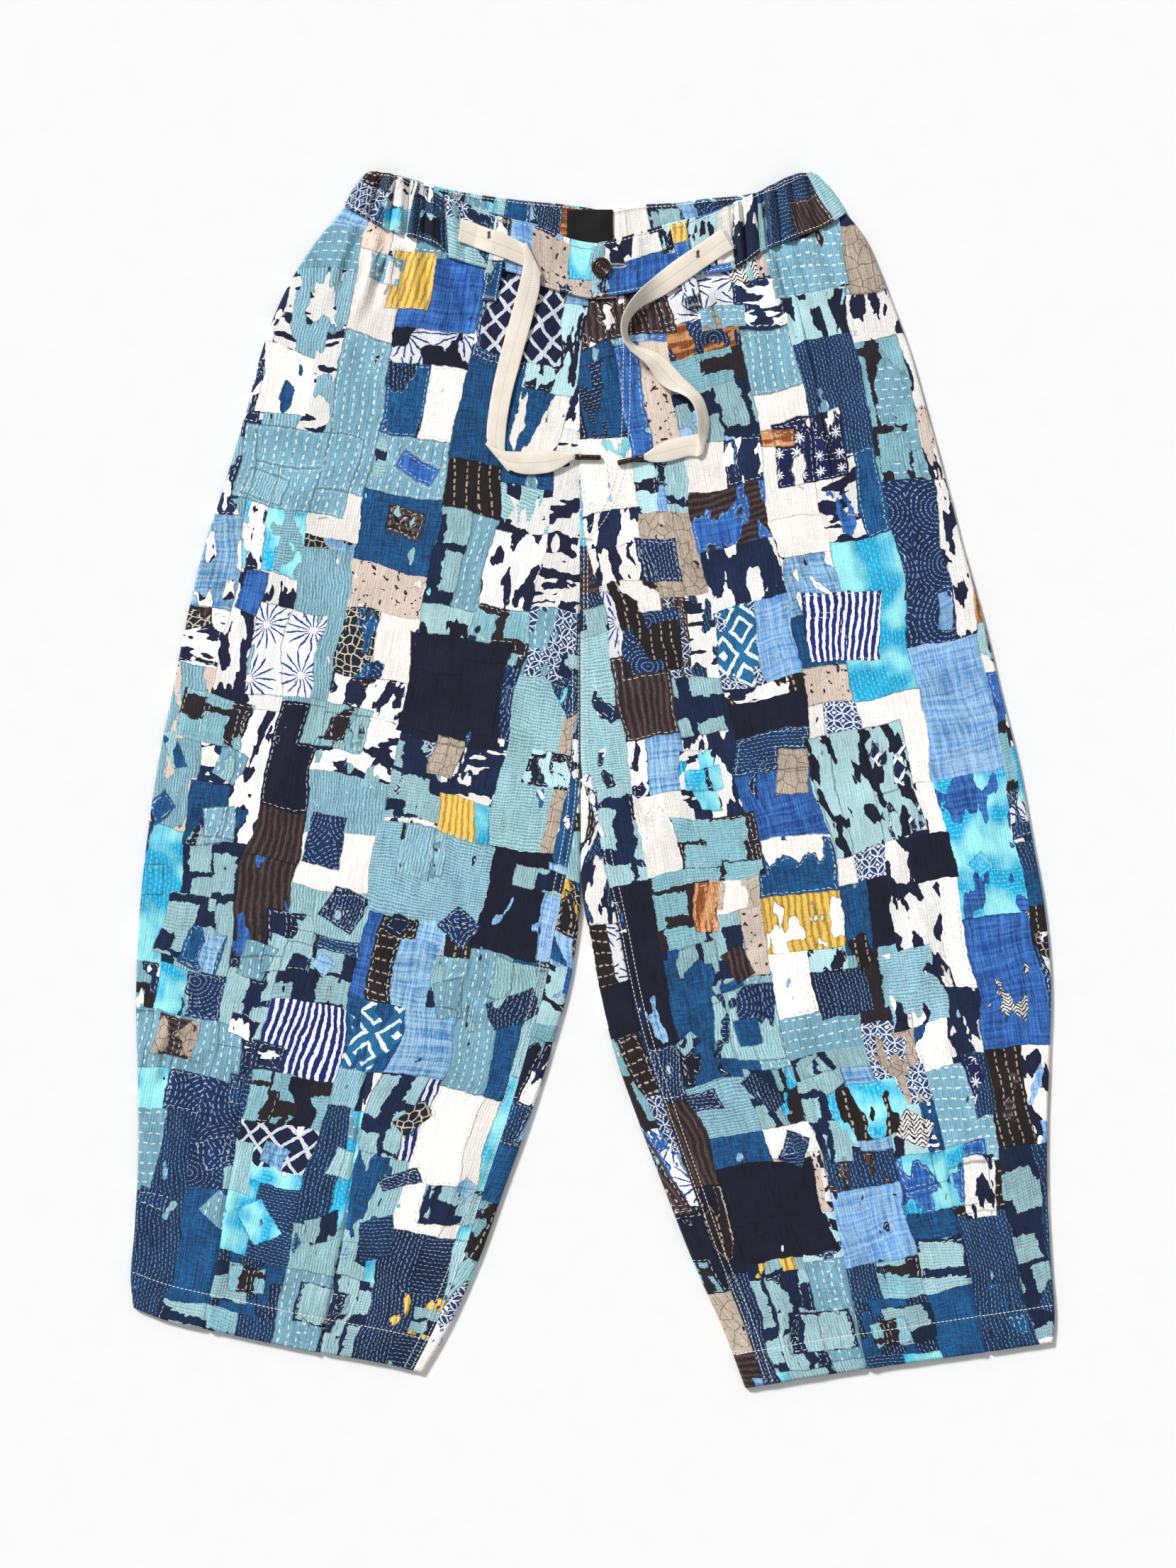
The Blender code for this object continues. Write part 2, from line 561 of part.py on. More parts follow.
def make_back(side):
    leg = Leg(side, BACK_WAIST_SEAM[side], CENTRE_BACK)
    points = []
    index = []
    for v in ROWS:
        under, around = back_row(leg, v)
        row = under + around
        index.append(list(range(len(points), len(points) + len(row))))
        points += row
    faces = []
    for upper, lower in zip(index, index[1:]):
        for k in range(min(len(upper), len(lower)) - 1):
            faces.append(flip_for(side, (upper[k + 1], lower[k + 1], lower[k], upper[k])))
    return add_wall(f"back_{side}", points, faces, CLOTH)


def band_strip(edges, columns, heights):
    """Columns of a band between its low and high edge: three points each, at the given heights."""
    low, high = curve(edges["low"]), curve(edges["high"])
    strip = []
    for column in range(columns + 1):
        t = column / columns
        height = heights(t, column)
        strip.append([(*(low(t) + part * (high(t) - low(t))), height) for part in (0, 0.5, 1)])
    return strip


def side_fold(side):
    """The half turn of the band at its side, from the front ply down to the floor ply."""
    radius = BAND_FRONT_TOP / 2
    low, high = (np.array(BAND_ELASTIC[side][edge][-1]) for edge in ("low", "high"))
    run = (high - low) / np.linalg.norm(high - low)
    out = np.array([-run[1], run[0]]) * (1 if side == "left" else -1)
    turn = []
    for angle in np.radians(FOLD_ANGLES):
        column = []
        for part, bulge in ((0, 0), (0.5, FOLD_BULGE), (1, 0)):
            at = low + part * (high - low) + out * (radius * np.cos(angle) + bulge)
            column.append((at[0], at[1], radius * (1 + np.sin(angle))))
        turn.append(column)
    return turn


def grid_faces(strip, reverse=False):
    points = [point for column in strip for point in column]
    rows = len(strip[0])
    faces = []
    for k in range(len(strip) - 1):
        for j in range(rows - 1):
            face = (k * rows + j, (k + 1) * rows + j, (k + 1) * rows + j + 1, k * rows + j + 1)
            faces.append(face[::-1] if reverse else face)
    return points, faces


def make_band_front(side):
    def heights(t, column):
        if side == "left":
            return BAND_FRONT_TOP
        return BAND_FRONT_TOP + BAND_STEP * (1 - smooth(t, *BAND_STEP_FADE))

    strip = band_strip(BAND_FRONT[side], BAND_COLUMNS, heights)
    points, faces = grid_faces(strip)
    return add_wall(f"band_front_{side}", points, faces, BAND)


def make_band_back():
    """One strip: front gathers, side fold, the back along the floor, side fold, front gathers."""

    def front_height(t, column):
        ripple = FRONT_RIPPLE if column % 2 else 0.0
        return BAND_FRONT_TOP + ripple * np.sin(np.pi * t) ** 0.5

    def back_height(t, column):
        return (BACK_RIPPLE if column % 2 else 0.0) * np.sin(np.pi * t) ** 0.5

    left = band_strip(BAND_ELASTIC["left"], ELASTIC_COLUMNS, front_height)
    right = band_strip(BAND_ELASTIC["right"], ELASTIC_COLUMNS, front_height)
    under = band_strip(BAND_ELASTIC["back"], BACK_BAND_COLUMNS, back_height)
    strip = left + side_fold("left") + under + side_fold("right")[::-1] + right[::-1]
    points, faces = grid_faces(strip, reverse=True)
    return add_wall("band_back", points, faces, BAND)


def height_under(surfaces, x, y, reach=2.5):
    """Highest face of the given pieces near a point, in mm."""
    best = 0.0
    for dx in (-reach, 0, reach):
        for dy in (-reach, 0, reach):
            for tree in surfaces:
                start = Vector(place(x + dx, y + dy, 90))
                hit = tree.ray_cast(start, Vector((0, 0, -1)))[0]
                if hit is not None:
                    best = max(best, hit.z / MM)
    return best


def surface_trees(objects):
    graph = bpy.context.evaluated_depsgraph_get()
    return [BVHTree.FromObject(item, graph) for item in objects]


def settled(heights, spread=1):
    """Heights along a strip, never lower than asked and without steps."""
    raised = [max(heights[max(0, i - spread) : i + spread + 1]) for i in range(len(heights))]
    near = [raised[max(0, i - 1) : i + 2] for i in range(len(raised))]
    return [max(own, sum(beside) / len(beside)) for own, beside in zip(raised, near)]


def make_loop(side, surfaces):
    (x0, y0), (x1, y1) = LOOPS[side]
    run = np.array([x1 - x0, y1 - y0])
    length = np.hypot(*run)
    across = np.array([-run[1], run[0]]) / length * LOOP_WIDTH / 2
    middles = [np.array([x0, y0]) + run * k / LOOP_STEPS for k in range(LOOP_STEPS + 1)]
    lows = [max(height_under(surfaces, *(m + s * across)) for s in (-1, 0, 1)) for m in middles]
    lows = settled(lows)
    strip = []
    for k, (middle, low) in enumerate(zip(middles, lows)):
        height = low + GAP + LOOP_WALL / 2 + LOOP_ARCH * np.sin(np.pi * k / LOOP_STEPS)
        strip.append([(*(middle - across), height), (*(middle + across), height)])
    points, faces = grid_faces(strip)
    return add_wall(f"belt_loop_{side}", points, faces, LOOP_WALL, 0.0)


def make_tape(side, sections, surfaces, end_height):
    """A flat tape through its sections, each laid on the highest thing below it and then lifted."""
    lows = []
    for ax, ay, bx, by, _, _ in sections:
        tests = [(ax + (bx - ax) * f, ay + (by - ay) * f) for f in (0, 0.25, 0.5, 0.75, 1)]
        lows.append(max(height_under(surfaces, x, y) for x, y in tests))
    lows = settled(lows)
    strip = []
    for k, ((ax, ay, bx, by, lift_a, lift_b), low) in enumerate(zip(sections, lows)):
        base = low + GAP + TAPE_WALL / 2
        climb = smooth(k, *(len(sections) - before for before in TAPE_CLIMB))
        rise = climb * (end_height - base)
        strip.append([(ax, ay, base + lift_a + rise), (bx, by, base + lift_b + rise)])
    points, faces = grid_faces(strip)
    return add_wall(f"tape_{side}", points, faces, TAPE_WALL, 0.0)


def make_aglet(side, surfaces):
    """A crimped metal tube on the tape's end, laid along the tape; returns the height of its axis."""
    (x, y), heading = AGLETS[side]
    tests = [np.array([x, y]) + np.array(heading) * AGLET_LENGTH * f for f in (0, 0.25, 0.5, 0.75, 1)]
    height = max(height_under(surfaces, *test) for test in tests) + GAP + AGLET_RADIUS
    outline = bpy.data.curves.new(f"aglet_{side}_line", "CURVE")
    outline.dimensions = "3D"
    outline.bevel_depth = AGLET_RADIUS * MM
    outline.bevel_resolution = 2
    outline.use_fill_caps = True
    spline = outline.splines.new("POLY")
    spline.points.add(1)
    end = np.array([x, y]) + np.array(heading) * AGLET_LENGTH
    spline.points[0].co = (*place(x, y, height), 1)
    spline.points[1].co = (*place(end[0], end[1], height), 1)
    add_object(f"aglet_{side}", outline)
    return height


def make_button(surfaces):
    """Turned button with raised rings, screwed round its axis from a half profile."""
    low = height_under(surfaces, *BUTTON_AT, reach=6) + GAP
    rings = [(0, 1.9), (2.0, 1.9), (2.5, 2.7), (3.4, 2.7), (3.9, 1.9), (5.0, 1.9), (5.6, 3.1),
             (6.6, BUTTON_HEIGHT), (BUTTON_RADIUS, 2.3), (7.2, 0.6), (6.0, 0), (0, 0)]
    mesh = bpy.data.meshes.new("button")
    points = [(radius * MM, 0, height * MM) for radius, height in rings]
    mesh.from_pydata(points, [(k, k + 1) for k in range(len(rings) - 1)], [])
    made = add_object("button", mesh)
    made.location = place(*BUTTON_AT, low)
    spin = made.modifiers.new("turned", "SCREW")
    spin.steps = BUTTON_STEPS
    spin.render_steps = BUTTON_STEPS
    spin.use_merge_vertices = True
    spin.merge_threshold = 0.00001
    return made


def make_label(surfaces):
    x0, y0, x1, y1 = LABEL_AT
    low = max(height_under(surfaces, x, y) for x in np.linspace(x0, x1, 5) for y in np.linspace(y0, y1, 5))
    bpy.ops.mesh.primitive_cube_add(size=1)
    made = bpy.context.object
    made.name = "label"
    made.data.materials.append(material("label"))
    made.scale = ((x1 - x0) * MM, (y1 - y0) * MM, LABEL_WALL * MM)
    made.location = place((x0 + x1) / 2, (y0 + y1) / 2, low + GAP + LABEL_WALL / 2)
    bpy.ops.object.transform_apply(location=False, rotation=False, scale=True)
    for collection in list(made.users_collection):
        collection.objects.unlink(made)
    PARTS.objects.link(made)
    return made


clear_scene()
PARTS = bpy.data.collections.new("knickerbockers")
bpy.context.scene.collection.children.link(PARTS)

FRONTS = {side: make_front(side) for side in ("left", "right")}
BACKS = {side: make_back(side) for side in ("left", "right")}
BANDS = {side: make_band_front(side) for side in ("left", "right")}
BAND_BACK = make_band_back()
make_label(surface_trees([BAND_BACK]))
CLOTH_BELOW = [*FRONTS.values(), *BANDS.values(), BAND_BACK]
make_button(surface_trees([BANDS["right"]]))
LOOP_PIECES = {side: make_loop(side, surface_trees(CLOTH_BELOW)) for side in ("left", "right")}
for tape_side, tape_sections in (("left", TAPE_LEFT), ("right", TAPE_RIGHT)):
    below = surface_trees([*CLOTH_BELOW, LOOP_PIECES[tape_side]])
    make_tape(tape_side, tape_sections, below, make_aglet(tape_side, below))
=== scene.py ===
# %% [markdown]
# # Cropped trousers in patchwork cotton, laid flat
#
# A pair of barrel-leg trousers lies on a floor with its front up. The cotton is printed all over with a
# patchwork of indigo, aqua, brown and cream cloths. A waistband is flat in front and elasticated behind, and
# two herringbone tapes with metal ends hang from it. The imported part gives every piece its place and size.
# This script gives each one its real surface: fine thin shells instead of the thick walls of the part, the
# creases, the stitches and the print.

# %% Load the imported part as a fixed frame
import functools
import itertools
import math

import bmesh
import bpy
import numpy as np
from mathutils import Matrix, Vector
from mathutils.bvhtree import BVHTree


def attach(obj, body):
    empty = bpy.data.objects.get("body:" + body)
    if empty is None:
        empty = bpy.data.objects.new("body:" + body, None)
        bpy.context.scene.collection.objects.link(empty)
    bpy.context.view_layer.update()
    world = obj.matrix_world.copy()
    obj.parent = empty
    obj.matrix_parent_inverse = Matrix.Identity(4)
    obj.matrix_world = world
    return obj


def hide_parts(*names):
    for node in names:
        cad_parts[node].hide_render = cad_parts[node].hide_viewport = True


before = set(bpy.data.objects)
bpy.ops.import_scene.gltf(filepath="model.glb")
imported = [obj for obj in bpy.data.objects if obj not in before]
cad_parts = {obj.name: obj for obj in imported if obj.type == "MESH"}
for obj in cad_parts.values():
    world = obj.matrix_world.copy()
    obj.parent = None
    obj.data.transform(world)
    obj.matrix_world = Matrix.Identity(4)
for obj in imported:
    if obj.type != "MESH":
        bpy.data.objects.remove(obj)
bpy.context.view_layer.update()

print("nodes:", ", ".join(sorted(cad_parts)))

# %% [markdown]
# ## The camera
#
# The trousers lie flat and are seen from straight above, so one scale holds for the whole picture. A long
# lens from 3 m up keeps the sides of the folds out of sight, as a garment picture does.

# %% Camera
MM = 0.001
SIDES = ("left", "right")  # as the picture shows them
TABLE_CENTRE = (1.0, -0.29)  # centre of the part's box in the tables' frame, mm
PICTURE = (1659, 2212)  # pixels
SCALE = 0.554  # mm on the floor for one pixel
VIEW_CENTRE = (-4.05, -4.14)  # mm
CAMERA_HEIGHT = 3.0

camera = bpy.data.objects.new("camera", bpy.data.cameras.new("camera"))
bpy.context.scene.collection.objects.link(camera)
camera.location = (VIEW_CENTRE[0] * MM, VIEW_CENTRE[1] * MM, CAMERA_HEIGHT)
camera.data.lens = camera.data.sensor_width * CAMERA_HEIGHT / (PICTURE[1] * SCALE * MM)
bpy.context.scene.camera = camera
print("lens:", round(camera.data.lens, 1), "mm")


# %% [markdown]
# ## Helpers
#
# Sizes are in millimetres in the tables and become metres in one place. A mesh is made from a grid of points:
# rows run down the garment and columns across it. Its texture coordinates are millimetres on the flat cloth,
# so a print or a weave keeps its real size wherever the cloth goes.


# %% Points, meshes and colours
def place(points):
    """Points of the tables' frame in mm, as metres in the part's frame."""
    return (np.asarray(points, float) - (*TABLE_CENTRE, 0)) * MM


def smooth(value, low, high):
    """0 below low, 1 above high, and a soft step between."""
    t = np.clip((np.asarray(value, float) - low) / (high - low), 0, 1)
    return t * t * (3 - 2 * t)


def lengths_along(points):
    """How far each point of a line is from its start."""
    steps = np.diff(np.asarray(points, float), axis=0)
    return np.concatenate([[0], np.cumsum(np.linalg.norm(steps, axis=1))])


def smooth_line(points):
    """A smooth curve through points; the function returned takes fractions of its length, also as arrays."""
    knots = np.array(points, float)
    at = lengths_along(knots)
    slopes = np.gradient(knots, at, axis=0)

    def point(fraction):
        s = np.clip(np.asarray(fraction, float), 0, 1) * at[-1]
        i = np.clip(np.searchsorted(at, s, side="right") - 1, 0, len(at) - 2)
        h = (at[i + 1] - at[i])[..., None]
        t = (s - at[i])[..., None] / h
        ends = (2 * t**3 - 3 * t**2 + 1) * knots[i] + (3 * t**2 - 2 * t**3) * knots[i + 1]
        return ends + h * ((t**3 - 2 * t**2 + t) * slopes[i] + (t**3 - t**2) * slopes[i + 1])

    return point


def directions(start, end):
    """Both ends of a line as arrays, its direction, and the direction to its left."""
    start, end = np.array(start, float), np.array(end, float)
    run = (end - start) / np.linalg.norm(end - start)
    return start, end, run, np.array([-run[1], run[0]])


def line_length(points):
    return float(lengths_along(points)[-1])


def add_object(name, data):
    made = bpy.data.objects.new(name, data)
    bpy.context.scene.collection.objects.link(made)
    return made


def add_mesh(name, points, faces, uvs, material):
    """A mesh object from points in mm, faces, and for each face corner its place on the flat cloth in mm."""
    mesh = bpy.data.meshes.new(name)
    mesh.from_pydata(place(points).tolist(), [], [tuple(int(k) for k in face) for face in faces])
    layer = mesh.uv_layers.new(name="cloth")
    layer.data.foreach_set("uv", (np.asarray(uvs, float) * MM).ravel())
    mesh.materials.append(material)
    mesh.polygons.foreach_set("use_smooth", [True] * len(mesh.polygons))
    return add_object(name, mesh)


def grid_faces(rows, columns, start=0):
    """Faces of a grid of points, row after row, as an array of corner numbers."""
    row, column = np.meshgrid(np.arange(rows - 1), np.arange(columns - 1), indexing="ij")
    first = (start + row * columns + column).ravel()
    return np.stack([first, first + columns, first + columns + 1, first + 1], axis=1)


def make_plain(piece):
    """Puts what the modifiers make of a piece into its own mesh, and takes them away."""
    graph = bpy.context.evaluated_depsgraph_get()
    mesh = bpy.data.meshes.new_from_object(piece.evaluated_get(graph))
    piece.modifiers.clear()
    old, piece.data = piece.data, mesh
    bpy.data.meshes.remove(old)
    return piece


def edit_mesh(piece, work):
    """Changes a piece's mesh by a function on its editable form."""
    shape = bmesh.new()
    shape.from_mesh(piece.data)
    work(shape)
    shape.to_mesh(piece.data)
    shape.free()


def thicken(piece, wall, offset=-1.0):
    """Gives an open surface its wall and applies it, so that the piece is a plain mesh."""
    modifier = piece.modifiers.new("wall", "SOLIDIFY")
    modifier.thickness = wall * MM
    modifier.offset = offset
    return make_plain(piece)


def add_strip(name, points, places, wall, material, reverse=False, offset=-1.0):
    """A piece from a grid of points and their places on the flat cloth: across and along, in mm."""
    places = np.stack(np.broadcast_arrays(*places), axis=-1).reshape(-1, 2)
    faces = grid_faces(*points.shape[:2])
    faces = faces[:, ::-1] if reverse else faces
    made = add_mesh(name, points.reshape(-1, 3), faces, places[faces].reshape(-1, 2), material)
    return thicken(made, wall, offset)


def srgb(code):
    """A colour given as a hex code, turned to linear light."""
    parts = [int(code[k : k + 2], 16) / 255 for k in (1, 3, 5)]
    return (*[p / 12.92 if p <= 0.04045 else ((p + 0.055) / 1.055) ** 2.4 for p in parts], 1.0)


MODES = {  # the setting that says most about a node of a kind
    "Math": "operation", "VectorMath": "operation", "Mix": "data_type", "VectorRotate": "rotation_type",
    "TexNoise": "noise_dimensions", "TexWhiteNoise": "noise_dimensions", "TexVoronoi": "voronoi_dimensions",
    "TexWave": "bands_direction", "CurveToPoints": "mode",
}


def set_inputs(node, inputs):
    """Gives a node its inputs, by number or by name: a socket is linked and a value is set."""
    for where, value in inputs.items():
        if isinstance(value, bpy.types.NodeSocket):
            node.id_data.links.new(value, node.inputs[where])
        else:
            node.inputs[where].default_value = value


def add_node(tree, kind, *inputs, out=0, **settings):
    """Adds a node: its kind and main setting, or a Math operation, and its inputs, in order or by number."""
    kind, *mode = f"Math {kind}".split() if kind.isupper() else kind.split()
    prefix = "ShaderNode" if hasattr(bpy.types, "ShaderNode" + kind) else "GeometryNode"
    node = tree.nodes.new(prefix + kind)
    for name, value in settings.items():
        setattr(node, name, value)
    if mode:
        setattr(node, MODES[kind], mode[0])
    set_inputs(node, inputs[0] if inputs and isinstance(inputs[0], dict) else dict(enumerate(inputs)))
    return node.outputs[out]


def new_material(name):
    """A material with a Principled shader, and the function that adds nodes to it."""
    material = bpy.data.materials.new(name)
    material.use_nodes = True
    return material, functools.partial(add_node, material.node_tree)


def set_surface(material, **surface):
    """Sets a material's shader: a value that is the same all over sits on its socket, the rest is linked."""
    shader = material.node_tree.nodes["Principled BSDF"]
    set_inputs(shader, {name.replace("_", " "): value for name, value in surface.items()})
    return material


# %% [markdown]
# ## Where the cloth lies
#
# The garment is a few curves on the floor: the outseams, the centre, the inner legs, the waist and the hem.
# Everything on a leg is then found by two fractions: u runs from the outseam to the inner edge and v from the
# waist down to the hem. The upper ply lies 5 to 7 mm over the floor on the ply below it.

# %% Outlines and heights, mm
CROTCH = 0.30  # fraction of the way from waist to hem
WAIST_FADE = 0.28  # the waist's curve dies out over this fraction
WAIST_Y, TALL = 443, 880  # rough place of the waist and height of a leg, where the search for a point starts
FIND_STEPS = 40  # steps of that search
OUTSEAM = {
    "left": [(-195, 443.6), (-216, 418), (-240, 379), (-255, 342), (-270, 287), (-286, 232), (-304, 176),
             (-317, 121), (-328, 65), (-339, 10), (-347, -45), (-353, -101), (-356, -170), (-354.5, -240),
             (-354.5, -300), (-357, -350), (-360, -395), (-358, -413)],
    "right": [(197.5, 442.6), (212, 424), (224, 398), (235, 370), (245.5, 342), (261.5, 287), (276.5, 232),
              (291, 176), (306.5, 121), (320, 65), (333.5, 10), (343.5, -45), (353.5, -101), (358.5, -160),
              (357.5, -212), (355.7, -267), (355.7, -322), (358.4, -378), (361.2, -425), (360, -440)],
}
CENTRE_FRONT = [(-0.6, 373.6), (-5.5, 354), (-9.2, 330), (-9.4, 270), (-9.4, 190), (-9.4, 115)]
CENTRE_BACK = [(-0.6, 404), (-5.5, 375), (-9.2, 340), (-9.4, 270), (-9.4, 190), (-9.4, 115)]
INNER_LEG = {
    "left": [(-9.6, 115), (-9.8, 60), (-9.6, -23), (-8.8, -85), (-9.2, -106), (-12, -128), (-16.5, -156),
             (-31.6, -212), (-49, -267), (-69, -322), (-89, -378), (-114, -433), (-132, -464)],
    "right": [(-9.2, 115), (-9.0, 60), (-8.8, -23), (-8.0, -85), (-6.0, -103), (-2, -123), (4, -156),
              (17, -212), (36, -267), (57, -322), (79, -378), (103.6, -433), (119.7, -475.9)],
}
WAIST_SEAM = {
    "left": [(-195, 443.6), (-183.4, 440.9), (-170, 432.6), (-149.6, 423.7), (-129.6, 418.2), (-119.5, 413.5),
             (-112, 405.8), (-86, 398.2), (-54.3, 391.6), (-38.2, 383.3), (-19.4, 377.7), (-0.6, 373.6)],
    "right": [(197.5, 442.6), (191.1, 434.3), (181.7, 427.1), (165.6, 419.8), (146.8, 414.9), (131, 409.5),
              (114.7, 398.2), (82.5, 391), (43.8, 380.5), (16, 375.4), (-0.6, 373.6)],
}
BACK_WAIST_SEAM = {
    "left": [(-195, 443.6), (-165, 432.8), (-140, 423.1), (-108, 415.1), (-55, 407.2), (-0.6, 402.9)],
    "right": [(197.5, 442.6), (170, 428.6), (140, 416.5), (105, 409.7), (52, 403.3), (-0.6, 402.9)],
}
HEM = {
    "left": [(-358, -413), (-335, -422), (-291, -432), (-224, -446), (-158, -457.5), (-132, -464)],
    "right": [(360, -440), (318.6, -446), (252, -455.4), (185.6, -465), (119.7, -475.9)],
}
BACK_ROLL = {  # mm below the crotch, mm of the back's cloth that shows on the front
    "left": [(0, 0), (95, 0), (112, 2.0), (140, 4.0), (165, 8), (210, 17), (240, 20), (320, 20), (420, 17),
             (520, 13.5), (600, 8)],
    "right": [(0, 0), (90, 0), (112, 2.6), (126, 5), (140, 11), (160, 16), (190, 21), (215, 25), (340, 26),
              (400, 24.5), (480, 21.5), (600, 16)],
}
PROFILE = [  # fraction from waist to hem, height of the upper face at the side, height in the middle
    (0.0, 4.7, 4.7), (0.002, 4.8, 4.8), (0.009, 5.4, 6.5), (0.02, 5.8, 7.2), (0.06, 5.8, 7.3),
    (0.15, 5.4, 6.9), (0.30, 5.2, 6.6), (0.55, 5.2, 6.8), (0.80, 5.1, 6.3), (1.0, 5.0, 5.3),
]
PROFILE_AT, PROFILE_EDGE, PROFILE_CROWN = zip(*PROFILE)

# %% [markdown]
# ## Creases
#
# Cotton like this keeps folds from its darts, its gathers and from lying folded. Each is a line on the floor
# with a half width and a height of its own, a minus height for a trough, so no two are alike. Between them
# the cloth swells softly: a seeded value noise, smooth over some centimetres, gives that.

# %% Creases
CREASES = [
    # from x, from y, to x, to y, bend, half width, height
    # under the elastic, left
    (-112, 408, -94, 322, 5, 9, -4.2), (-121, 412, -110, 330, -3, 9, 3.2), (-129, 416, -130, 340, 3, 7, -3),
    (-137, 420, -138, 352, -2, 7, 2.7), (-145, 422, -155, 340, 4, 7, -2.9),
    (-153, 426, -164, 372, 0, 6, 2.3), (-161, 430, -178, 350, 4, 7, -2.4), (-168, 433, -190, 346, 5, 8, 2.9),
    (-176, 436, -200, 362, -3, 7, -2.5), (-185, 441, -214, 360, 3, 8, 2.4),
    (-102, 402, -84, 292, 6, 12, 2.6), (-92, 400, -92, 330, 3, 7, -1.7), (-60, 388, -70, 300, -4, 14, 1.6),
    (-44, 384, -52, 330, 3, 7, -1.3), (-24, 376, -34, 318, 3, 8, -1.5),
    # under the elastic, right
    (127, 407, 122, 340, -2, 7, -2.4), (135, 411, 144, 338, 3, 8, 3), (142, 416, 160, 330, 4, 6.5, -4.4),
    (150, 416, 172, 340, 3, 8, 3), (158, 418, 176, 352, 4, 7, -2.6), (166, 421, 184, 360, -2, 7, 2.6),
    (174, 425, 196, 356, 3, 7, -2.5), (183, 431, 208, 366, 2, 8, 2.4), (191, 438, 220, 362, -4, 8, -2.2),
    (118, 402, 131, 300, 5, 12, 2.8), (95, 390, 88, 304, -5, 12, 2), (78, 390, 70, 330, 3, 8, -1.6),
    (56, 384, 50, 320, 4, 9, -1.4), (40, 380, 36, 330, -2, 8, 1.3),
    # the soft fold below the button
    (12, 374, 9, 300, 3, 9, 2.6), (19, 376, 22, 306, -3, 7, -2.4), (-2, 372, 0, 322, 2, 7, -1.6),
    # long soft folds down the legs
    (181, 276, 236, 76, -8, 10, 2.7), (-160, 330, -176, 120, 10, 26, 1.6),
    (-228, 230, -262, 30, -12, 24, 1.4), (-230, 60, -272, -74, 8, 20, 2), (-110, 240, -96, 30, -10, 30, 1.3),
    (-60, 160, -52, -90, 6, 18, -1.1), (60, 250, 66, 40, 8, 26, 1.3), (120, 200, 150, -20, -9, 28, 1.4),
    (250, 20, 213, -128, 10, 20, 1.8), (290, 60, 312, -80, 6, 22, 1.3), (30, 60, 44, -120, 5, 14, -1.1),
    # the pinch beside the outer dart, left, and a weaker one on the right
    (-334, -240, -326, -200, 2, 8, -3.6), (-352, -248, -322, -228, 2, 9, -3),
    (-340, -214, -330, -176, -3, 9, 2.6), (-326, -246, -318, -300, 4, 10, 2.8),
    (-344, -262, -334, -318, 3, 9, -1.8), (-314, -222, -290, -206, 2, 8, 1.8),
    (336, -196, 330, -150, 3, 10, 1.9), (344, -222, 322, -200, 2, 9, -1.9),
    # from the points of the hem darts
    (-264, -176, -252, -60, 6, 15, 1.8), (-173, -186, -160, -70, -5, 16, 1.6),
    (-222, -250, -214, -120, 7, 18, -1.3), (166, -220, 158, -90, 6, 16, 2),
    (255, -178, 246, -66, -6, 15, 1.8), (212, -270, 204, -140, 7, 18, -1.1),
    # lower legs
    (-330, -120, -336, -330, 5, 14, 1.4), (-300, -420, -288, -250, -4, 13, 1.6),
    (-236, -436, -226, -280, 5, 15, 1.4), (-150, -450, -140, -300, -4, 13, 1.6),
    (-110, -400, -92, -300, 3, 9, -1.3), (-68, -280, -44, -190, -3, 10, 1.6),
    (332, -140, 334, -360, -5, 14, 1.4), (252, -446, 244, -290, 4, 14, 1.6),
    (150, -462, 140, -310, -4, 13, 1.6), (118, -410, 96, -310, 3, 9, -1.3), (66, -270, 40, -175, 3, 11, 1.6),
    # short ones across, where the cloth was folded away
    (-320, 40, -262, 22, 3, 7, 1.1), (-210, -30, -150, -14, -3, 8, 0.9), (-340, -210, -292, -222, 2, 7, 1.1),
    (-120, -150, -66, -138, 3, 8, 1.1), (318, 30, 262, 12, -3, 7, 1.1), (196, -30, 140, -20, 3, 8, 0.9),
    (342, -240, 296, -250, -2, 7, 1.1), (96, -160, 44, -150, -3, 8, 1.1), (-90, 70, -24, 92, 4, 8, 1.1),
    (76, 96, 18, 110, -4, 8, 0.9),
]


def relief(rows, x, y):
    """Height of all the creases at points of the cloth, in mm."""
    total = np.zeros(np.shape(x))
    for x0, y0, x1, y1, bend, half, height in rows:
        run = np.array([x1 - x0, y1 - y0], float)
        length = np.hypot(*run)
        along = ((x - x0) * run[0] + (y - y0) * run[1]) / length**2
        across = ((y - y0) * run[0] - (x - x0) * run[1]) / length
        inner = np.clip(along, 0, 1)
        across = np.abs(across - bend * 4 * inner * (1 - inner))
        shape = np.cos(np.pi / 2 * np.clip(across / half, 0, 1)) ** 2
        total += height * shape * smooth(along, -0.1, 0.12) * (1 - smooth(along, 0.45, 1.0))
    return total


def soft_noise(x, y, size, seed):
    """Smooth value noise between -1 and 1, with hills about `size` mm apart."""
    table = np.random.default_rng(seed).uniform(-1, 1, (64, 64))
    across, down = np.asarray(x, float) / size + 32, np.asarray(y, float) / size + 32
    i, j = np.floor(across).astype(int), np.floor(down).astype(int)
    fx, fy = smooth(across - i, 0, 1), smooth(down - j, 0, 1)
    corner = [table[(i + a) % 64, (j + b) % 64] for a in (0, 1) for b in (0, 1)]
    return (corner[0] * (1 - fy) + corner[1] * fy) * (1 - fx) + (corner[2] * (1 - fy) + corner[3] * fy) * fx


def swell(x, y, seed):
    """The cloth's soft unevenness: broad hills, and small ones on them."""
    broad, small, fine = (soft_noise(x, y, size, seed + k) for k, size in enumerate((42, 17, 8)))
    return 0.55 * broad + 0.28 * small + 0.1 * fine


print(len(CREASES), "creases on the front")


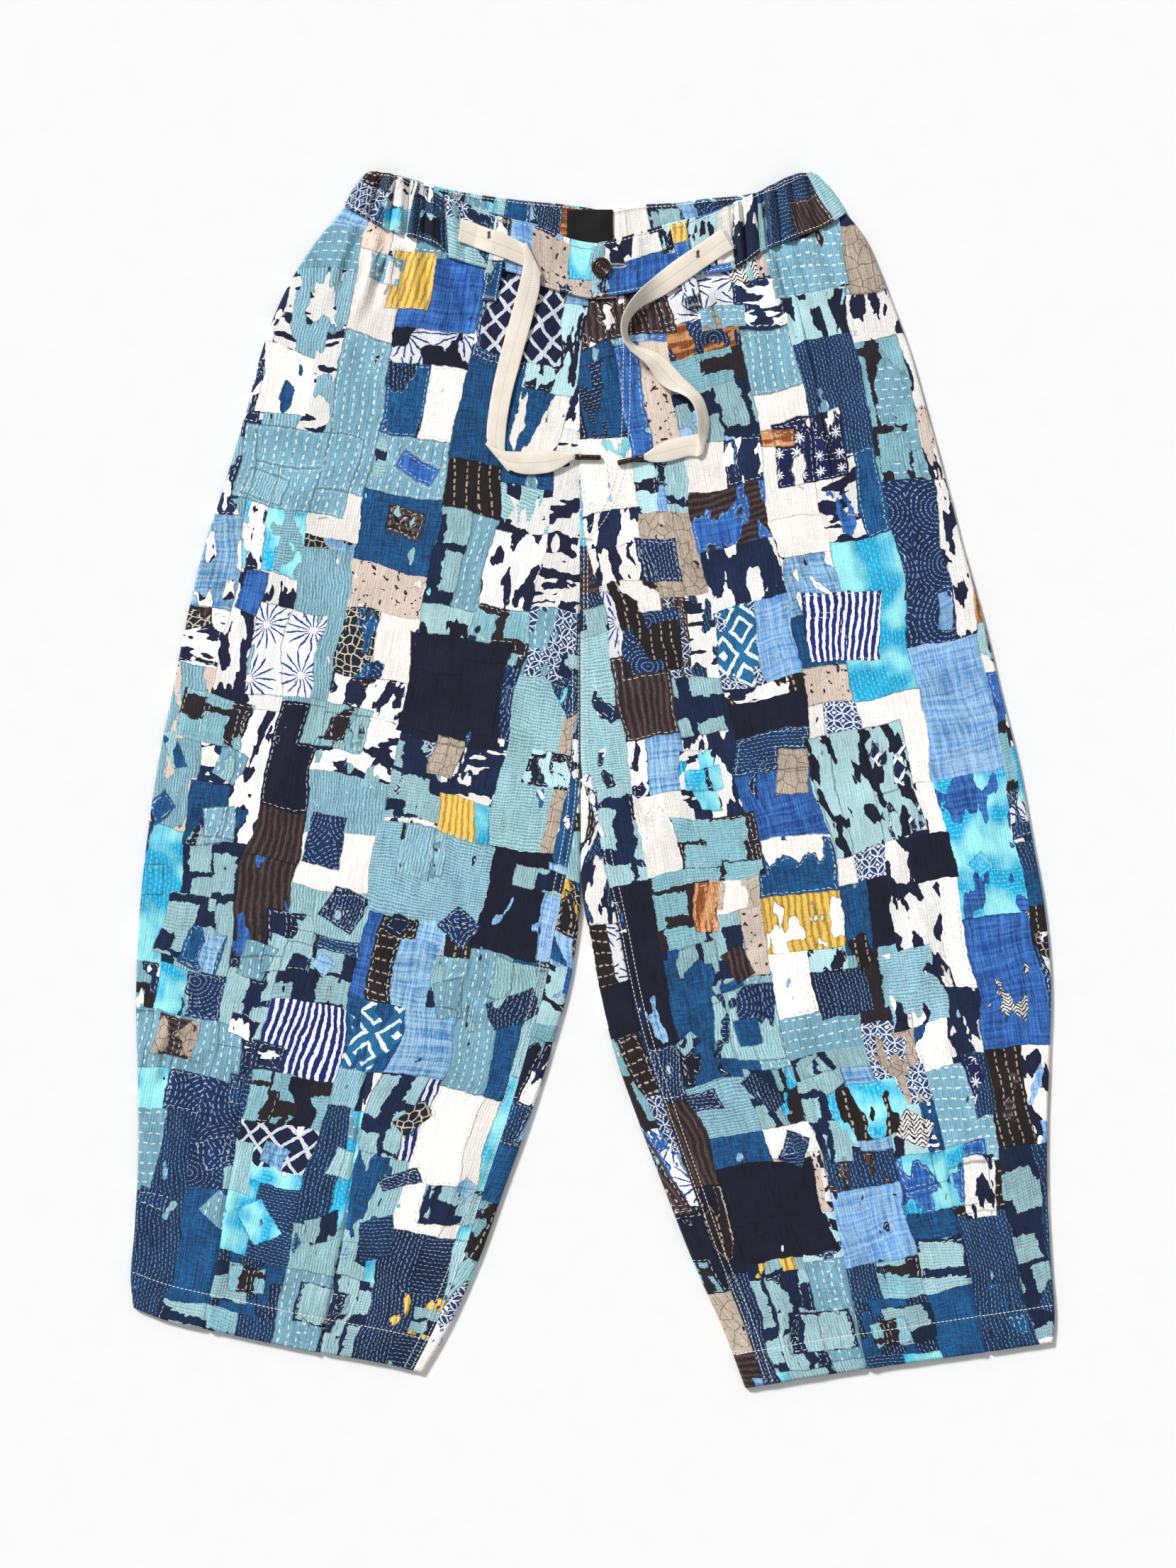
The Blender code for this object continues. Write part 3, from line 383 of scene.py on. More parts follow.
# %% A leg as a surface
class Leg:
    """One half of the garment: where its cloth lies and how high its upper ply is."""

    def __init__(self, side, waist, centre):
        self.side = side
        self.outer = smooth_line(OUTSEAM[side])
        self.rise = smooth_line(centre)
        self.inner_leg = smooth_line(INNER_LEG[side])
        self.waist = smooth_line(waist)
        self.hem = smooth_line(HEM[side])

    def inner(self, v):
        above = self.rise(v / CROTCH)
        below = self.inner_leg((v - CROTCH) / (1 - CROTCH))
        return np.where((v < CROTCH)[..., None], above, below)

    def bow(self, line, u):
        shape = line(u) - (1 - u)[..., None] * line(0) - u[..., None] * line(1)
        return np.where(((u > 0) & (u < 1))[..., None], shape, 0)

    def at(self, u, v):
        """Point on the floor at fraction u from outseam to inner edge and v from waist to hem."""
        u, v = np.broadcast_arrays(np.asarray(u, float), np.asarray(v, float))
        straight = (1 - u)[..., None] * self.outer(v) + u[..., None] * self.inner(v)
        fade = (np.maximum(0, 1 - v / WAIST_FADE) ** 2)[..., None]
        return straight + fade * self.bow(self.waist, u) + (v**3)[..., None] * self.bow(self.hem, u)

    def find(self, points):
        """The fractions (u, v) of points on the floor."""
        points = np.asarray(points, float)
        v = (WAIST_Y - points[:, 1]) / TALL
        for _ in range(FIND_STEPS):
            start, end = self.at(np.zeros_like(v), v), self.at(np.ones_like(v), v)
            u = ((points - start) * (end - start)).sum(1) / ((end - start) ** 2).sum(1)
            away = self.at(u, v) - points
            v = v + away[:, 1] / TALL
        return u - away[:, 0] / (end - start)[:, 0], v

    def width(self, v):
        return np.linalg.norm(self.at(1.0, v) - self.at(0.0, v), axis=-1)

    def radius(self, v):
        """Half of the height at the side, where the cloth turns round the edge."""
        return np.interp(v, PROFILE_AT, PROFILE_EDGE) / 2

    def roll(self, v):
        """How much of the back's cloth shows on the front, measured from the inner edge."""
        rows = np.array(BACK_ROLL[self.side], float)
        return np.interp(self.inner_leg(0)[1] - self.inner(v)[..., 1], rows[:, 0], rows[:, 1])

    def top(self, u, v):
        """Height of the upper ply's face, before it is turned down at the edges."""
        edge, crown = np.interp(v, PROFILE_AT, PROFILE_EDGE), np.interp(v, PROFILE_AT, PROFILE_CROWN)
        inside = np.clip(u, 0, 1)
        spot = self.at(inside, v)
        height = edge + (crown - edge) * (1 - (2 * inside - 1) ** 4)
        width = self.width(v)
        calm = smooth(inside * width, 3, 26) * smooth(v, 0, 0.02) * (1 - smooth(v, 0.985, 1.0) * 0.6)
        calm = calm * smooth((1 - inside) * width, 0, 22)
        raised = relief(CREASES, spot[..., 0], spot[..., 1]) + 1.5 * swell(spot[..., 0], spot[..., 1], 5)
        return height + calm * raised

    def from_inner(self, along, v):
        """Point reached by going along the cloth from the inner edge: up over the front, or minus, under."""
        radius, width = self.radius(v), self.width(v)
        quarter = radius * np.pi / 2
        angle = np.clip(along / radius, -np.pi / 2, np.pi / 2)
        past = np.maximum(np.abs(along) - quarter, 0)
        u = 1 - (radius * (1 - np.cos(angle)) + past) / width
        upper = self.top(np.minimum(u, 1 - radius / width), v)
        height = np.where(angle > 0, radius + (upper - radius) * np.sin(angle), radius * (1 + np.sin(angle)))
        return u, height


LEG_FRONT = {side: Leg(side, WAIST_SEAM[side], CENTRE_FRONT) for side in SIDES}
LEG_BACK = {side: Leg(side, BACK_WAIST_SEAM[side], CENTRE_BACK) for side in SIDES}
print("width at the hem:", {side: round(float(leg.width(1.0))) for side, leg in LEG_FRONT.items()})

# %% [markdown]
# ## The fronts
#
# A front is one piece of cloth from the outseam to the centre and the inner leg. Its mesh is a grid whose
# columns follow the lines that matter on it: the turned edge, the pocket mouth, the two hem darts and the
# seam. So each groove and edge is a line of vertices and stays sharp. A dart takes cloth away, so the print
# jumps across it: there each face keeps its own texture coordinates.

# %% Lines down the fronts, mm on the floor
POCKET_MOUTH = {"left": (0.20, 0.300), "right": (0.285, 0.300)}  # fractions at the waist and at its end
POCKET_END = 0.255  # fraction from waist to hem
DARTS = {
    "left": {
        "outer": [(-265.6, -181), (-262.6, -195), (-266.5, -213), (-269.8, -233), (-275.3, -262),
                  (-279, -297),
                  (-285.3, -328.5), (-294.7, -390), (-302, -430)],
        "inner": [(-173.4, -191), (-175, -213), (-176.7, -239), (-179, -254), (-182.8, -279), (-185.6, -297),
                  (-201, -394), (-209.5, -449)],
    },
    "right": {
        "outer": [(255.4, -181), (257, -200.5), (262, -233), (267, -252.6), (274.8, -285), (281.4, -324.6),
                  (290.3, -361), (299.7, -410.5), (308.6, -447)],
        "inner": [(166.5, -225), (172.8, -249), (179.5, -285), (187.3, -328.5), (196, -369.5), (202, -402),
                  (210.5, -443), (216.6, -461)],
    },
}
DART_ABOVE = {"outer": 0.42, "inner": 0.66}  # where the dart lines would meet the waist
DART_INTAKE = 16.0  # cloth taken up at the hem
DART_GROOVE, GROOVE_HALF = 1.9, 2.6  # depth of a dart's line on the face, and half its width
RIDGE, RIDGE_AWAY, RIDGE_HALF = 0.85, 4.5, 4.6  # the dart's folded allowance: height, distance, half width
SEAM_DIP, LINE_HALF = 0.5, 1.6  # how deep a seam is sunk, and half the width of a sunk line
MOUTH_RISE, MOUTH_FADE, MOUTH_STITCH = 1.35, 13, 6.5  # edge of the pocket mouth: height, fading, stitching
GRAIN = {"left": math.radians(10.5), "right": math.radians(-10.0)}  # lean of the cloth's grain on the floor
FLY_LAP = 12.0  # the left front passes under the right one at the fly
FLY_END = (0.17, 0.215)
LAP_RAISE = 1.6
LAP_END = (0.22, 0.27)
LAP_FADE = (24, 42)  # mm from the lap's edge
COTTON = 0.95  # wall of the cotton shells
SIDE_TUCK, SIDE_SINK = 4.5, 0.7  # how far the cloth beside the outseam runs up under the waistband, and sinks
HEM_LINE = 28.0  # the hem's stitching stands this far above its edge
HEM_RISE = 0.35  # what the second ply adds below it
LEG_LENGTH, LEG_LONGER = 870, 15  # from waist to hem at the outseam, and how much more at the inner edge


def rows_down(*stretches):
    """Fractions from waist to hem: (start, end, count) stretches, joined."""
    parts = [np.linspace(a, b, n, endpoint=False) for a, b, n in stretches]
    return np.concatenate(parts + [[stretches[-1][1]]])


def columns_between(width, count, near=(0.8, 2.0, 4.0)):
    """Distances in mm across a strip of the given widths: close steps at both sides and even ones between."""
    left = np.array([0.0, *near])
    middle = near[-1] + (width - 2 * near[-1]) * np.linspace(0, 1, count + 2)[1:-1]
    return np.concatenate([left + 0 * width, middle, width - left[::-1]], axis=1)


def lean(points, side, turned=False, shift=(0, 0)):
    """Places on the flat cloth for places on the floor: turned to the grain, and moved on the print."""
    cos, sin = math.cos(GRAIN[side]), math.sin(GRAIN[side])
    x, y = points[..., 0], points[..., 1]
    flat = np.stack([x * cos - y * sin, x * sin + y * cos], axis=-1)
    return (-flat if turned else flat) + np.array(shift, float)


def beside(distance, half):
    """A narrow round groove or ridge: 1 on its line and 0 from `half` mm."""
    return np.cos(np.pi / 2 * np.clip(np.abs(distance) / half, 0, 1)) ** 2


FRONT_ROWS = rows_down((0, 0.012, 8), (0.012, 0.12, 54), (0.12, 0.30, 52), (0.30, 0.62, 78),
                       (0.62, 0.955, 86), (0.955, 0.98, 16), (0.98, 1.0, 8))
print(len(FRONT_ROWS), "rows")


# %% Fronts
PRINT_PLACE = {  # whether the print is turned round on a piece, and how far it is moved
    "front_left": (False, (0, 0)),
    "front_right": (True, (-40, -900)),
    "back_left": (True, (230, 160)),
    "back_right": (False, (310, -220)),
}


def dart_line(leg, which, v):
    """Fractions u of a dart's line for each row, and how open the dart is there, from 0 to 1."""
    u_knots, v_knots = leg.find(DARTS[leg.side][which])
    line = np.interp(v, [0, *v_knots, 1], [DART_ABOVE[which], *u_knots, u_knots[-1]])
    start = v_knots[0]
    return line, smooth(v, start, start + 0.05) * np.clip((v - start) / (1 - start), 0, 1) ** 0.8


def add_panel(node, points, flat, has_face, reverse, material, gone=None):
    """A leg's piece from its grid; `has_face` says where it has faces, `gone` how far its print jumps."""
    turned_over, shift = PRINT_PLACE[node]
    faces = grid_faces(*points.shape[:2])
    row, column = np.divmod(faces, points.shape[1])
    places = lean(flat, node.split("_")[1], turned_over, shift)[row, column]
    if gone is not None:
        places[..., 0] += gone[row, column[:, :1]] * (-1 if turned_over else 1)
    if reverse:
        faces, places = faces[:, ::-1], places[:, ::-1]
    kept = has_face[:-1].ravel()
    places = places[kept].reshape(-1, 2)
    made = add_mesh(f"{node}_cloth", points.reshape(-1, 3), faces[kept], places, material)
    # vertices that lie on each other are joined, which drops the faces without area
    edit_mesh(made, lambda mesh: bmesh.ops.remove_doubles(mesh, verts=mesh.verts, dist=0.02 * MM))
    return thicken(made, COTTON)


def make_front(side, material):
    leg = LEG_FRONT[side]
    v = FRONT_ROWS[:, None]
    width, radius = leg.width(v), leg.radius(v)
    pocket = np.interp(v, [0, POCKET_END, 0.7, 1], [*POCKET_MOUTH[side], 0.13, 0.12])
    outer, outer_open = dart_line(leg, "outer", v)
    inner, inner_open = dart_line(leg, "inner", v)
    seam = np.where(v >= CROTCH, leg.roll(v), 0.0)
    if side == "left":
        seam = seam - FLY_LAP * (1 - smooth(v, *FLY_END)) * (v < CROTCH)
    round_edge = smooth(v, POCKET_END, CROTCH)
    quarter = radius * np.pi / 2 * round_edge
    last = np.maximum(quarter, seam) + 6.0

    # the columns: place across in fractions, place on the flat cloth, and height over the upper face
    angles = np.radians(np.linspace(2, 84, 7))
    u = [radius * (1 - np.cos(angles)) / width]
    flat_u = [radius * (1 - np.pi / 2 + angles) / width]
    bounds = [radius / width, pocket, outer, inner, 1 - (radius * round_edge + last - quarter) / width]
    edges = [len(angles)]
    for k, count in enumerate([14, 26, 26, 32] if side == "left" else [18, 24, 26, 30]):
        zone = bounds[k] + columns_between((bounds[k + 1] - bounds[k]) * width, count) / width
        zone = zone[:, 1:] if k > 1 else zone
        u.append(zone)
        flat_u.append(zone)
        edges.append(edges[-1] + zone.shape[1])
    # edges now holds how many columns there are before each zone, and in all of them
    u, flat_u = np.concatenate(u, axis=1), np.concatenate(flat_u, axis=1)
    heights = leg.top(u, v)
    heights[:, : len(angles)] = radius + (heights[:, : len(angles)] - radius) * np.sin(angles)

    # the last columns follow the cloth down the inner edge to the seam
    reach = seam + (last - seam) * np.array([0.8, 0.6, 0.45, 0.3, 0.18, 0.09, 0.03, 0.0])
    reach[:, -1] += 0.05
    around_u, around_z = leg.from_inner(reach, v)
    plain_u = 1 - reach / width
    plain_z = leg.top(plain_u, v)
    u = np.concatenate([u, plain_u + (around_u - plain_u) * round_edge], axis=1)
    heights = np.concatenate([heights, plain_z + (around_z - plain_z) * round_edge], axis=1)
    flat_u = np.concatenate([flat_u, 1 - (reach + radius * (1 - np.pi / 2) * round_edge) / width], axis=1)
    x = leg.at(u, v)[..., 0]
    down = v * LEG_LENGTH

    # grooves of the darts, with the folded allowance as a low ridge on one side
    ripple = 1 + 0.35 * np.sin(down / 5.1 + 3 * np.sin(down / 23))
    for line, opened, sign in ((outer, outer_open, 1), (inner, inner_open, -1)):
        away = (u - line) * width
        heights -= DART_GROOVE * opened**0.4 * beside(away, GROOVE_HALF)
        heights += RIDGE * ripple * beside(away - sign * RIDGE_AWAY, RIDGE_HALF) * smooth(opened, 0, 0.2)

    # seam allowances and puckers along the inner leg, the centre and the outseam
    from_seam = (1 - flat_u) * width - seam
    pucker = 0.4 + 0.3 * soft_noise(down, 0, 7.5, 21)
    heights += beside(from_seam - 4, 7) * pucker * (v > CROTCH)
    heights -= SEAM_DIP * beside(from_seam, LINE_HALF) * (v > 0.27)
    heights += 0.18 * beside(flat_u * width - 6, 8) * soft_noise(down, 0, 9, 22)

    # the hem is turned up: a step at its stitching, and a double ply below
    from_hem = (1 - v) * (LEG_LENGTH + LEG_LONGER * u)
    heights += in_hem(from_hem) * (HEM_RISE + 0.16 * soft_noise(x, 0, 8, 23))
    heights -= 0.35 * beside(from_hem - HEM_LINE, LINE_HALF)

    # the mouth of the pocket: the body's edge lies over the hip
    body = edges[1]
    gape = (1 - smooth(v, 0.18, POCKET_END)) * smooth(v, 0.0, 0.015)
    from_mouth = (u - pocket) * width
    raised = MOUTH_RISE * (1 - smooth(from_mouth, 0, MOUTH_FADE))
    raised -= 0.35 * beside(from_mouth - MOUTH_STITCH, 1.5)
    heights += gape * np.where(np.arange(u.shape[1]) >= body, raised, -0.5 * smooth(from_mouth, -12, 0))
    if side == "right":
        lap = 1 - smooth(np.abs(x - leg.at(1.0, v)[..., 0]), *LAP_FADE)
        heights += LAP_RAISE * lap * (1 - smooth(v, *LAP_END))

    # the strip of the hip that runs on under the mouth's edge
    under = np.array([2.0, 4.5, 7.5]) * np.where(v < POCKET_END, gape + 0.02, 0)
    strips = (pocket + under / width, pocket + under / width, heights[:, body - 1 : body] - under * 0.16)
    u, flat_u, heights = (np.concatenate([grid[:, :body], strip, grid[:, body:]], axis=1)
                          for grid, strip in zip((u, flat_u, heights), strips))
    points = np.concatenate([leg.at(u, v), heights[..., None]], axis=-1)
    tuck = 3.0 * smooth(u, 0.12, 0.3) * (1 - smooth(v, 0, 0.004))
    if side == "right":
        tuck = tuck * smooth(np.abs(points[..., 0]), 45, 70)
    points[..., 1] += tuck
    points += run_under_band(leg, u, v)

    # the pocket's mouth has no faces across it, and the print jumps where a dart has taken cloth away
    added, between = under.shape[1], np.arange(u.shape[1] - 1)
    has_face = (between != body + added - 1) | (v >= POCKET_END)
    way = -DART_INTAKE if side == "right" else DART_INTAKE
    past_outer, past_inner = (between >= first + added - 1 for first in edges[2:4])
    gone = way * (past_outer * outer_open + past_inner * inner_open)
    return add_panel(f"front_{side}", points, leg.at(flat_u, v), has_face, side == "right", material, gone)


def run_under_band(leg, u, v):
    """Moves beside the outseam, where a leg's cloth runs on into the seam with the waistband."""
    up = leg.at(u, 0.0) - leg.at(u, 0.01)
    up = up / np.linalg.norm(up, axis=-1, keepdims=True)
    top = ((1 - smooth(u, 0.10, 0.22)) * (1 - smooth(v, 0, 0.012)))[..., None]
    return np.concatenate([SIDE_TUCK * top * up, -SIDE_SINK * top], axis=-1)


def in_hem(from_hem):
    """1 below the hem's stitching and 0 above it."""
    return 1 - smooth(from_hem, HEM_LINE - 0.8, HEM_LINE + 0.6)


# %% [markdown]
# ## The backs
#
# A back lies on the floor, turns up round the outseam and, below the crotch, rolls forward over the inner
# edge, so a strip of it shows on the front as far as the seam. It is one sheet from seam to seam. Under the
# garment its creases can only rise from the floor.

# %% Backs
BACK_CREASES = [
    # from x, from y, to x, to y, bend, half width, height
    (-180, 425, -196, 330, 4, 9, 1.2), (-150, 418, -158, 300, -4, 10, 1.3), (-118, 410, -112, 330, 3, 8, 1),
    (-84, 404, -78, 290, -3, 10, 1.2), (-52, 402, -58, 330, 2, 8, 0.9), (-24, 398, -20, 310, 3, 8, 1),
    (26, 398, 24, 310, -3, 9, 1.1), (58, 400, 66, 300, 3, 9, 1.2), (92, 404, 88, 330, -2, 8, 1),
    (122, 408, 134, 290, 4, 10, 1.3), (158, 418, 170, 330, -4, 9, 1.1), (186, 428, 204, 350, 3, 8, 1.1),
    (-236, 220, -276, 20, 12, 24, 1.2), (-150, 250, -166, 10, -10, 26, 1.1), (-80, 180, -72, -40, 8, 20, 1),
    (60, 210, 74, -20, -8, 22, 1.1), (150, 240, 172, 20, 10, 26, 1), (246, 200, 284, 0, -12, 24, 1.2),
    (-300, -60, -296, -260, 6, 18, 1.1), (-200, -80, -206, -300, -7, 20, 1),
    (-110, -180, -138, -380, 5, 16, 1.1), (300, -60, 306, -280, -6, 18, 1.1),
    (204, -90, 196, -310, 7, 20, 1), (110, -190, 142, -390, -5, 16, 1.1),
    (-290, -130, -220, -110, 4, 9, 0.9), (286, -160, 216, -140, -4, 9, 0.9),
]
BACK_ROWS = rows_down((0, 0.12, 22), (0.12, CROTCH, 36), (CROTCH, 0.955, 130), (0.955, 0.98, 10),
                      (0.98, 1.0, 6))


def make_back(side, material):
    leg = LEG_BACK[side]
    v = BACK_ROWS[:, None]
    width, radius = leg.width(v), leg.radius(v)
    quarter = radius * np.pi / 2
    closed = v > CROTCH - 1e-6

    # the cloth that lies on the floor
    first, last = radius / width, 1 - np.where(closed, radius, 0.1) / width
    lying_u = first + (last - first) * np.linspace(0, 1, 58)
    spots = leg.at(lying_u, v)
    x, y = spots[..., 0], spots[..., 1]
    inside = smooth(lying_u * width, 2, 24) * smooth((1 - lying_u) * width, 2, 24) * smooth(v, 0, 0.03)
    lying_z = inside * np.clip(relief(BACK_CREASES, x, y) + 0.6 + 0.8 * swell(x, y, 31), 0, 2.2)

    # the cloth that rolls forward over the inner edge, as far as the seam
    seam = leg.roll(v)
    part = np.array([0.04, 0.12, 0.2, 0.3, 0.4, 0.5, 0.6, 0.7, 0.78, 0.85, 0.91, 0.95, 0.98, 1.0])
    along = -quarter + (quarter + np.maximum(seam - 0.05, 0)) * part
    round_u, round_z = leg.from_inner(along, v)
    pucker = 0.2 * soft_noise(v * LEG_LENGTH, 0, 7.5, 21) * beside(seam - along - 3, 5)
    raised = pucker - SEAM_DIP * beside(seam - along, LINE_HALF) + HEM_RISE * in_hem((1 - v) * LEG_LENGTH)
    round_z = round_z + smooth(along, 0, 4) * closed * raised

    # both, after the columns that turn up round the outseam
    angles = np.radians(np.linspace(2, 84, 6))
    u = np.concatenate([radius * (1 - np.cos(angles)) / width, lying_u, round_u], axis=1)
    heights = np.concatenate([radius * (1 - np.sin(angles)), lying_z, round_z], axis=1)
    flat_u = np.concatenate([radius * (1 - np.pi / 2 + angles) / width, lying_u,
                             1 - (radius - along - quarter) / width], axis=1)
    points = np.concatenate([leg.at(u, v), heights[..., None]], axis=-1)
    turned = slice(len(angles))
    points[:, turned, :2] += run_under_band(leg, u[:, turned], v)[..., :2]
    has_face = (np.arange(u.shape[1] - 1) < u.shape[1] - len(part) - 1) | closed
    return add_panel(f"back_{side}", points, leg.at(flat_u, v), has_face, side == "left", material)


# %% [markdown]
# ## The waistband
#
# The band is flat in front and elastic behind. The two front pieces meet under the button, the right one on
# top. The elastic piece is one strip that starts at a front join, turns round the side, runs along the
# back and comes round again. Gathered cloth stands in pleats of uneven width, so each pleat that shows is
# a crease of its own. Round edges and a sunk line of stitching make it a sewn band and not a flat ribbon.

# %% Waistband tables, mm
BAND_TOP = 7.6  # height of the front band's face over the floor
BAND_STEP = 2.9  # how much higher its right end lies, on the left one
BAND_STEP_FADE = (0.22, 0.36)
BAND_TALL, BAND_WALL = 46.0, 2.2
BAND_RIDGES, BAND_TROUGHS = 2.4, 1.6
BAND_STITCH = 2.6  # stitching inside the band's edges
FOLD_AT = (0, 0.2, 0.45, 0.7, 0.88, 1)  # places across the band where it turns round the side
# how far it stands out at those places
FOLD_BULGE = {"left": (0, 1.6, 3.4, 3.8, 2.4, 0.3), "right": (0, 1.6, 2.2, 1.5, 0.6, 0.1)}
BAND_FRONT = {
    "left": {
        "low": [(-111.8, 406.1), (-86, 398.5), (-54.3, 391.9), (-38.2, 383.6), (-19.4, 378), (-0.6, 373.9),
                (19.4, 374.5)],
        "high": [(-115.5, 455.3), (-95.8, 447.6), (-78.7, 441.5), (-62.6, 436.5), (-38.2, 430.6),
                 (-18.3, 421.5), (0, 417.7), (21.6, 417.9)],
    },
    "right": {
        "low": [(-0.6, 373.9), (16, 375.7), (43.8, 380.8), (82.5, 391.3), (114.7, 398.5), (131, 409.8)],
        "high": [(0.6, 417.7), (16.6, 419.9), (41, 427.1), (60.9, 433.2), (86.4, 439.2), (113.6, 450.4),
                 (128.2, 456.5)],
    },
}
BAND_ELASTIC = {
    "left": {
        "low": [(-112.3, 406.2), (-119.5, 413.8), (-129.6, 418.5), (-149.6, 424), (-170, 432.9),
                (-183.4, 441.2), (-190, 444.6)],
        "high": [(-116.1, 455.6), (-121.3, 458.7), (-134, 463.8), (-145.7, 467.6), (-158, 471.6),
                 (-166.5, 472.9)],
    },
    "back": {
        "low": [(-190, 444.6), (-165, 434.8), (-140, 424.8), (-108, 416.8), (-55, 408.8), (-0.6, 404.3),
                (52, 404.8), (105, 411.3), (140, 418.3), (170, 430.8), (195.4, 438.6)],
        "high": [(-166.5, 472.9), (-148, 470.3), (-121, 462), (-95, 457), (-55, 451.5), (-15, 447.6),
                 (11.6, 444), (38, 448), (65, 449.6), (91, 453), (118, 455.6), (145, 462.4), (158, 469),
                 (169.5, 472.9)],
    },
    "right": {
        "low": [(131.4, 410.2), (146.8, 416), (163.1, 422.8), (181.2, 429.6), (195.4, 438.6)],
        "high": [(128.8, 456.9), (144, 464.8), (158, 471), (169.5, 472.9)],
    },
}
BAND_CREASES = [
    # from x, from y, to x, to y, bend, half width, height
    (-164, 476, -180, 414, 1, 3.1, -2.6), (-171, 474, -189, 425, 0, 3.4, 1.1),
    (-157, 474, -168, 405, 1, 4.6, 1.4), (-153, 470, -160, 405, -1, 2.4, -2.1),
    (-148, 472, -154, 400, 1, 4, 1.1), (-142, 470, -150, 392, 1, 3.1, -2.7),
    (-136, 468, -141, 396, -1, 4.6, 1.7), (-130, 468, -133, 392, 1, 2.7, -1.7),
    (-124, 464, -125, 396, 0, 4.1, 1.3), (-119, 462, -118, 380, 1, 2.6, -1.3),
    (-115, 462, -111.5, 370, -1, 2.9, -2.9), (-108, 458, -106, 376, 0, 5.8, 1),
    (-101, 456, -99, 380, 1, 2.7, -0.7), (-56, 436, -52, 366, 1, 5.8, 0.4),
    (-34, 430, -30, 360, -1, 5.8, 0.35), (36, 428, 34, 360, 1, 5.8, 0.4), (60, 434, 58, 360, -1, 5.8, 0.35),
    (96, 446, 98, 372, 1, 5.8, 0.7), (108, 452, 116, 376, 0, 2.9, -1.7), (113, 454, 119, 380, 0, 3.7, 1.2),
    (116, 458, 123.5, 372, 0, 2.9, -2.7), (124, 460, 130, 384, 0, 4.6, 1.5),
    (132, 462, 140, 386, 1, 2.9, -2.2), (138, 462, 145, 392, -1, 4.1, 1.4),
    (143, 464, 150, 392, 1, 2.7, -2.3), (150, 468, 158, 398, 0, 4.6, 1.5),
    (155, 472, 166, 402, 0, 2.4, -1.8), (161, 474, 174, 410, 1, 4.1, 1.3),
    (166, 475, 182, 416, 0, 2.6, -2.1), (171, 474, 190, 428, 0, 3.4, 1.1),
]


def edge_drop(inside, radius):
    """How far a rounded edge is turned down, `inside` mm from it."""
    return radius - np.sqrt(np.maximum(0, radius**2 - np.maximum(0, radius - inside) ** 2))


def sewn_edges(s):
    """What the round edges and the two sunk lines of stitching take off a band's face, in mm."""
    inside = np.minimum(s, 1 - s) * BAND_TALL
    return edge_drop(inside, 1.1) + 0.4 * beside(inside - BAND_STITCH, 1.4)


def gathers(x, y):
    """The band's creases: troughs as listed, ridges raised until they shade their neighbours."""
    heights = relief(BAND_CREASES, x, y)
    return np.where(heights > 0, BAND_RIDGES, BAND_TROUGHS) * heights


def band_strip(edges, t, s):
    """Points on the floor of a band's strip: t goes along it and s from its low to its high edge."""
    low, high = smooth_line(edges["low"])(t), smooth_line(edges["high"])(t)
    return low[:, None] + s[:, None] * (high - low)[:, None]


BAND_ROWS = np.array([0, 0.012, 0.03, 0.05, 0.066, 0.085, 0.13, 0.2, 0.3, 0.4, 0.5,
                      0.6, 0.7, 0.8, 0.87, 0.915, 0.934, 0.95, 0.97, 0.988, 1.0])
FRONT_END = ([0, 0.45, 0.6, 0.8, 0.93, 1], [0, 0, -2.8, -1.7, 1.5, 5])  # the right end's edge: height, mm off


def sew_band(name, strip, lengths, start, material, reverse=False):
    """A band from its grid of points; its texture place is its length along and its height across."""
    tall = np.linalg.norm(strip[:, -1, :2] - strip[:, 0, :2], axis=-1)
    places = lengths[:, None] + start[0], BAND_ROWS * tall.mean() + start[1]
    return add_strip(name, strip, places, BAND_WALL, material, reverse=reverse)


# %% Front bands
# where the print starts on each band
BAND_PLACE = {"left": (-60, 40), "right": (520, 300), "back": (150, -500)}


def make_band_front(side, material):
    t = np.linspace(0, 1, 110)
    floor = band_strip(BAND_FRONT[side], t, BAND_ROWS)
    x, y = floor[..., 0], floor[..., 1]
    z = BAND_TOP + gathers(x, y) + 0.4 * swell(x, y, 41) - sewn_edges(BAND_ROWS)
    along = lengths_along(floor[:, 10])
    if side == "right":
        z += (BAND_STEP * (1 - smooth(t, *BAND_STEP_FADE)))[:, None]
        x = x + np.interp(BAND_ROWS, *FRONT_END) * (1 - smooth(along, 0, 18))[:, None]
        z -= (edge_drop(along, 1.3) + 0.35 * beside(along - BAND_STITCH, 1.3))[:, None]
    strip = np.stack([x, y, z], axis=-1)
    return sew_band(f"band_front_{side}_cloth", strip, along, BAND_PLACE[side], material)


# %% The elastic band
def pleats(along, seed, pitch=7.5):
    """Uneven gathers along a band, between 0 and 1."""
    phase = 2 * np.pi * along / pitch + 1.6 * soft_noise(along, 0, 23, seed)
    return (0.5 + 0.5 * np.sin(phase)) ** 1.4 * (0.6 + 0.4 * soft_noise(along, 0, 15, seed + 1))


